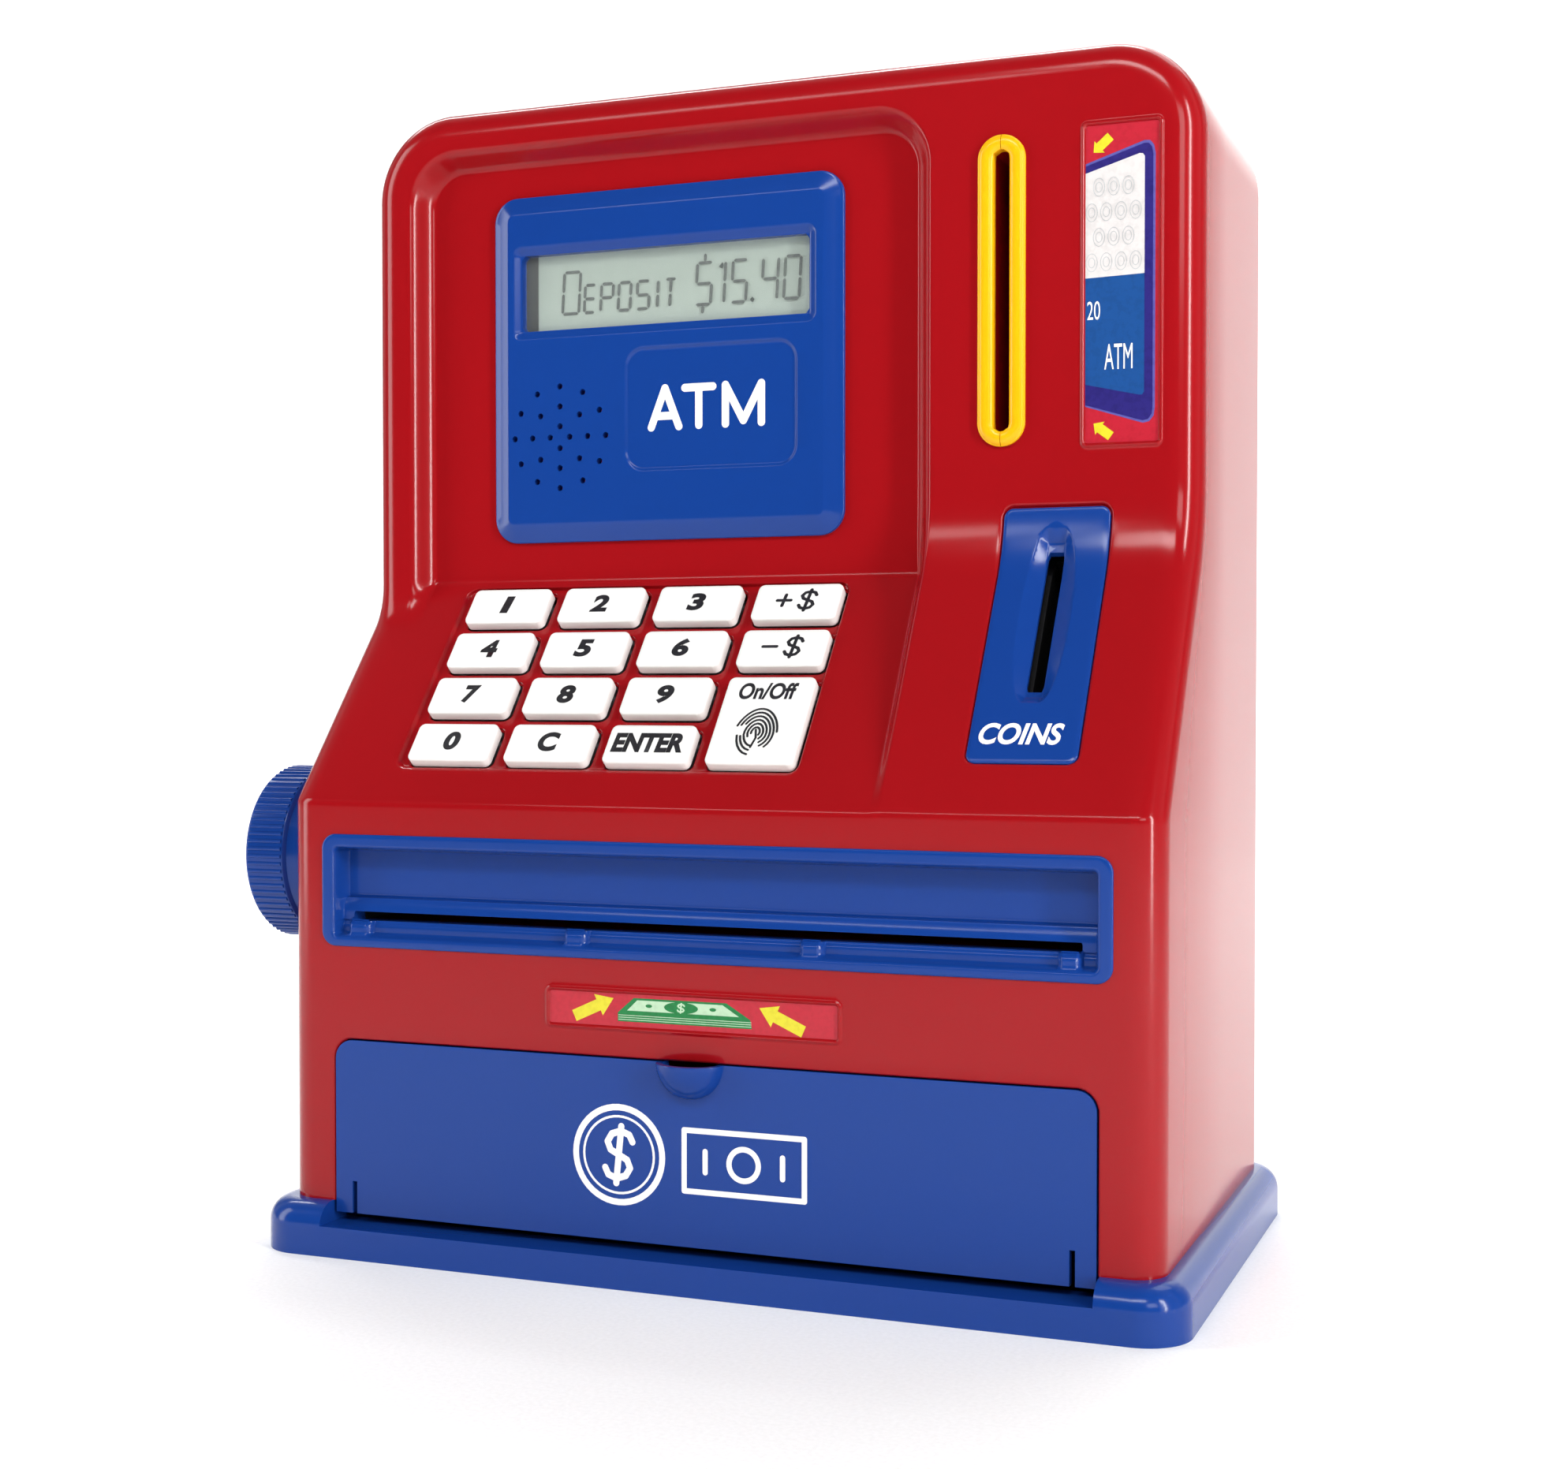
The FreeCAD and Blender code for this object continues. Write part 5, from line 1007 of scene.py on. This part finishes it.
# Each finish and the CAD nodes that it goes on. The trays and brackets are dull black mouldings, the tyres matt
# rubber, the shafts drawn steel, the contacts bright nickel, and the boards a glossy green.
black_abs = plain_surface("matt_black_abs", "#222224", "#1A1A1C", 0.8, 0.5)
roller_rubber = plain_surface("black_roller_rubber", "#1E1E1F", "#151516", 0.5, 0.78, bump=0.4)
shaft_steel = plain_surface("drawn_shaft_steel", "#B4B5B8", "#9A9B9F", 1.5, 0.3, 1.0, 0.05)
contact_steel = plain_surface("nickelled_contact_steel", "#D2D0CA", "#C2C0BA", 1.0, 0.22, 1.0, 0.03)
INSIDE_FINISHES = (
    (black_abs, ("coin_chute", "coin_lever", "coin_switch", "card_lever", "card_switch")),
    (black_abs, ("feed_bracket_left", "feed_bracket_right", "battery_tray", "speaker_clamp")),
    (red_abs, ("note_tray",)),
    (white_abs, ("feed_bushes",)),
    (roller_rubber, ("feed_rollers", "pinch_rollers")),
    (shaft_steel, ("feed_shaft", "pinch_shaft_rod")),
    (contact_steel, ("battery_contacts",)),
    (plain_surface("grey_silicone_mat", "#6A6B6E", "#606164", 0.7, 0.66), ("keypad_mat",)),
    (plain_surface("green_solder_mask", "#12572C", "#0E4824", 2.5, 0.34), ("main_board", "keypad_board")),
    (plain_surface("black_speaker_cone", "#232324", "#18181A", 0.4, 0.7, bump=0.5), ("speaker",)),
    (plain_surface("foil_cell_jacket", "#3B3E44", "#2E3136", 3.0, 0.3), ("batteries",)),
)
for finish, node_names in INSIDE_FINISHES:
    for node_name in node_names:
        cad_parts[node_name].data.materials.clear()
        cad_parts[node_name].data.materials.append(finish)

# Battery lid: a red ABS lid let flush into the back over the cells. Two tongues hook it at one end, and one screw
# holds the other.
moulding_from("battery_door", "battery_lid_moulding", red_abs, "battery_lid", 0.25)

# Screws: zinc plated steel with pan heads and a cross recess. One is set on every seat, a place in millimetres and
# a direction, and each is turned by chance, as a driver leaves it.
zinc = plain_surface("zinc_plated_steel", "#C6C8CA", "#B2B4B6", 0.6, 0.3, 1.0, 0.06)
HEAD_PROFILE = ((0.0, 2.6), (0.25, 2.8), (1.1, 2.75), (1.7, 2.3), (2.05, 1.5), (2.15, 0.6))
SHANK_PROFILE = ((-7.0, 1.2), (0.1, 1.2))
RECESS_ARM = (-1.7, 1.7, -0.33, 0.33)


def screw_heads(name, seats, scale, body, node):
    """Sets a cross-recessed screw on each seat, in place of a CAD node's plain screws."""
    head = turned(name + "_head", HEAD_PROFILE, Vector(), 24)
    shank = turned(name + "_shank", SHANK_PROFILE, Vector(), 16)
    arms = []
    for turn in (0, math.pi / 2):
        arm = plug(name + "_arm", RECESS_ARM, 0.05, -3.2, -1.15)
        arm.data.transform(Matrix.Rotation(turn, 4, "X") @ Matrix.Rotation(math.pi / 2, 4, "Z"))
        arms.append(arm)
    made_of(carved(head, arms), zinc, 40)
    joined = bmesh.new()
    joined.from_mesh(head.data)
    joined.from_mesh(shank.data)
    joined.to_mesh(head.data)
    joined.free()

    def build(group, given):
        places = add_node(group, "GeometryNodeObjectInfo", {"Object": given["Seats"]}).outputs["Geometry"]
        pattern = add_node(group, "GeometryNodeObjectInfo", {"Object": given["Head"]}).outputs["Geometry"]
        facing = add_node(group, "GeometryNodeInputNormal").outputs["Normal"]
        aimed = add_node(group, "FunctionNodeAlignRotationToVector", {"Vector": facing}, axis="X")
        about_axis = {"Min": (0.0, 0.0, 0.0), "Max": (math.pi, 0.0, 0.0), "Seed": given["Seed"]}
        spin = add_node(group, "FunctionNodeRandomValue", about_axis, data_type="FLOAT_VECTOR")
        both = {"Rotation": aimed.outputs["Rotation"], "Rotate By": spin.outputs["Value"]}
        turn = add_node(group, "FunctionNodeRotateRotation", both, rotation_space="LOCAL")
        kept = add_node(group, "GeometryNodeCaptureAttribute", {"Geometry": places}, domain="FACE")
        kept.capture_items.new("ROTATION", "Turn")
        group.links.new(turn.outputs["Rotation"], kept.inputs["Turn"])
        points = add_node(group, "GeometryNodeMeshToPoints", {"Mesh": kept.outputs["Geometry"]}, mode="FACES")
        screws = {"Points": points.outputs["Points"], "Instance": pattern}
        screws.update({"Rotation": kept.outputs["Turn"], "Scale": given["Scale"]})
        return add_node(group, "GeometryNodeInstanceOnPoints", screws)

    seat_points, seat_faces = [], []
    for place, way in seats:
        side = Vector(way).orthogonal().normalized()
        other = Vector(way).cross(side)
        start = len(seat_points)
        for turn in np.radians((0, 120, 240)):
            seat_points.append(Vector(place) + (math.cos(turn) * side + math.sin(turn) * other) * 0.5)
        seat_faces.append((start, start + 1, start + 2))
    seat_marks = solid(name + "_seats", seat_points, seat_faces)
    inputs = {"Seats": ("Object", seat_marks), "Head": ("Object", head), "Scale": ("Float", scale)}
    piece = made_by_nodes(name, {**inputs, "Seed": ("Int", 7), "Material": ("Material", zinc)}, build)
    for helper in (seat_marks, head, shank):
        bpy.data.objects.remove(helper)
    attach(smooth_shaded(piece, 40), body)
    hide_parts(node)


housing_seats = [((x, 18, z), (0, 1, 0)) for x in (-104, 104) for z in (44, 160, 288)]
screw_heads("housing_screw_heads", housing_seats, 1.0, "housing", "housing_screws")
plinth_seats = [((x, y, 6), (0, 0, -1)) for x in (-112, 112) for y in (-34, 42)]
screw_heads("plinth_screw_heads", plinth_seats, 1.0, "housing", "base_screws")
board_seats = [((x, -10.4, z), (0, 1, 0)) for x in (-81, 23.2) for z in (247, 277)]
screw_heads("board_screw_heads", board_seats, 0.7, "housing", "board_screws")
screw_heads("battery_lid_screw_head", [((0, 65.6, 207), (0, 1, 0))], 0.9, "battery_lid", "battery_screw")
screw_heads("knob_screw_head", [((-136.6, -34.6, 103.6), (-1, 0, 0))], 1.05, "feed", "knob_screw")
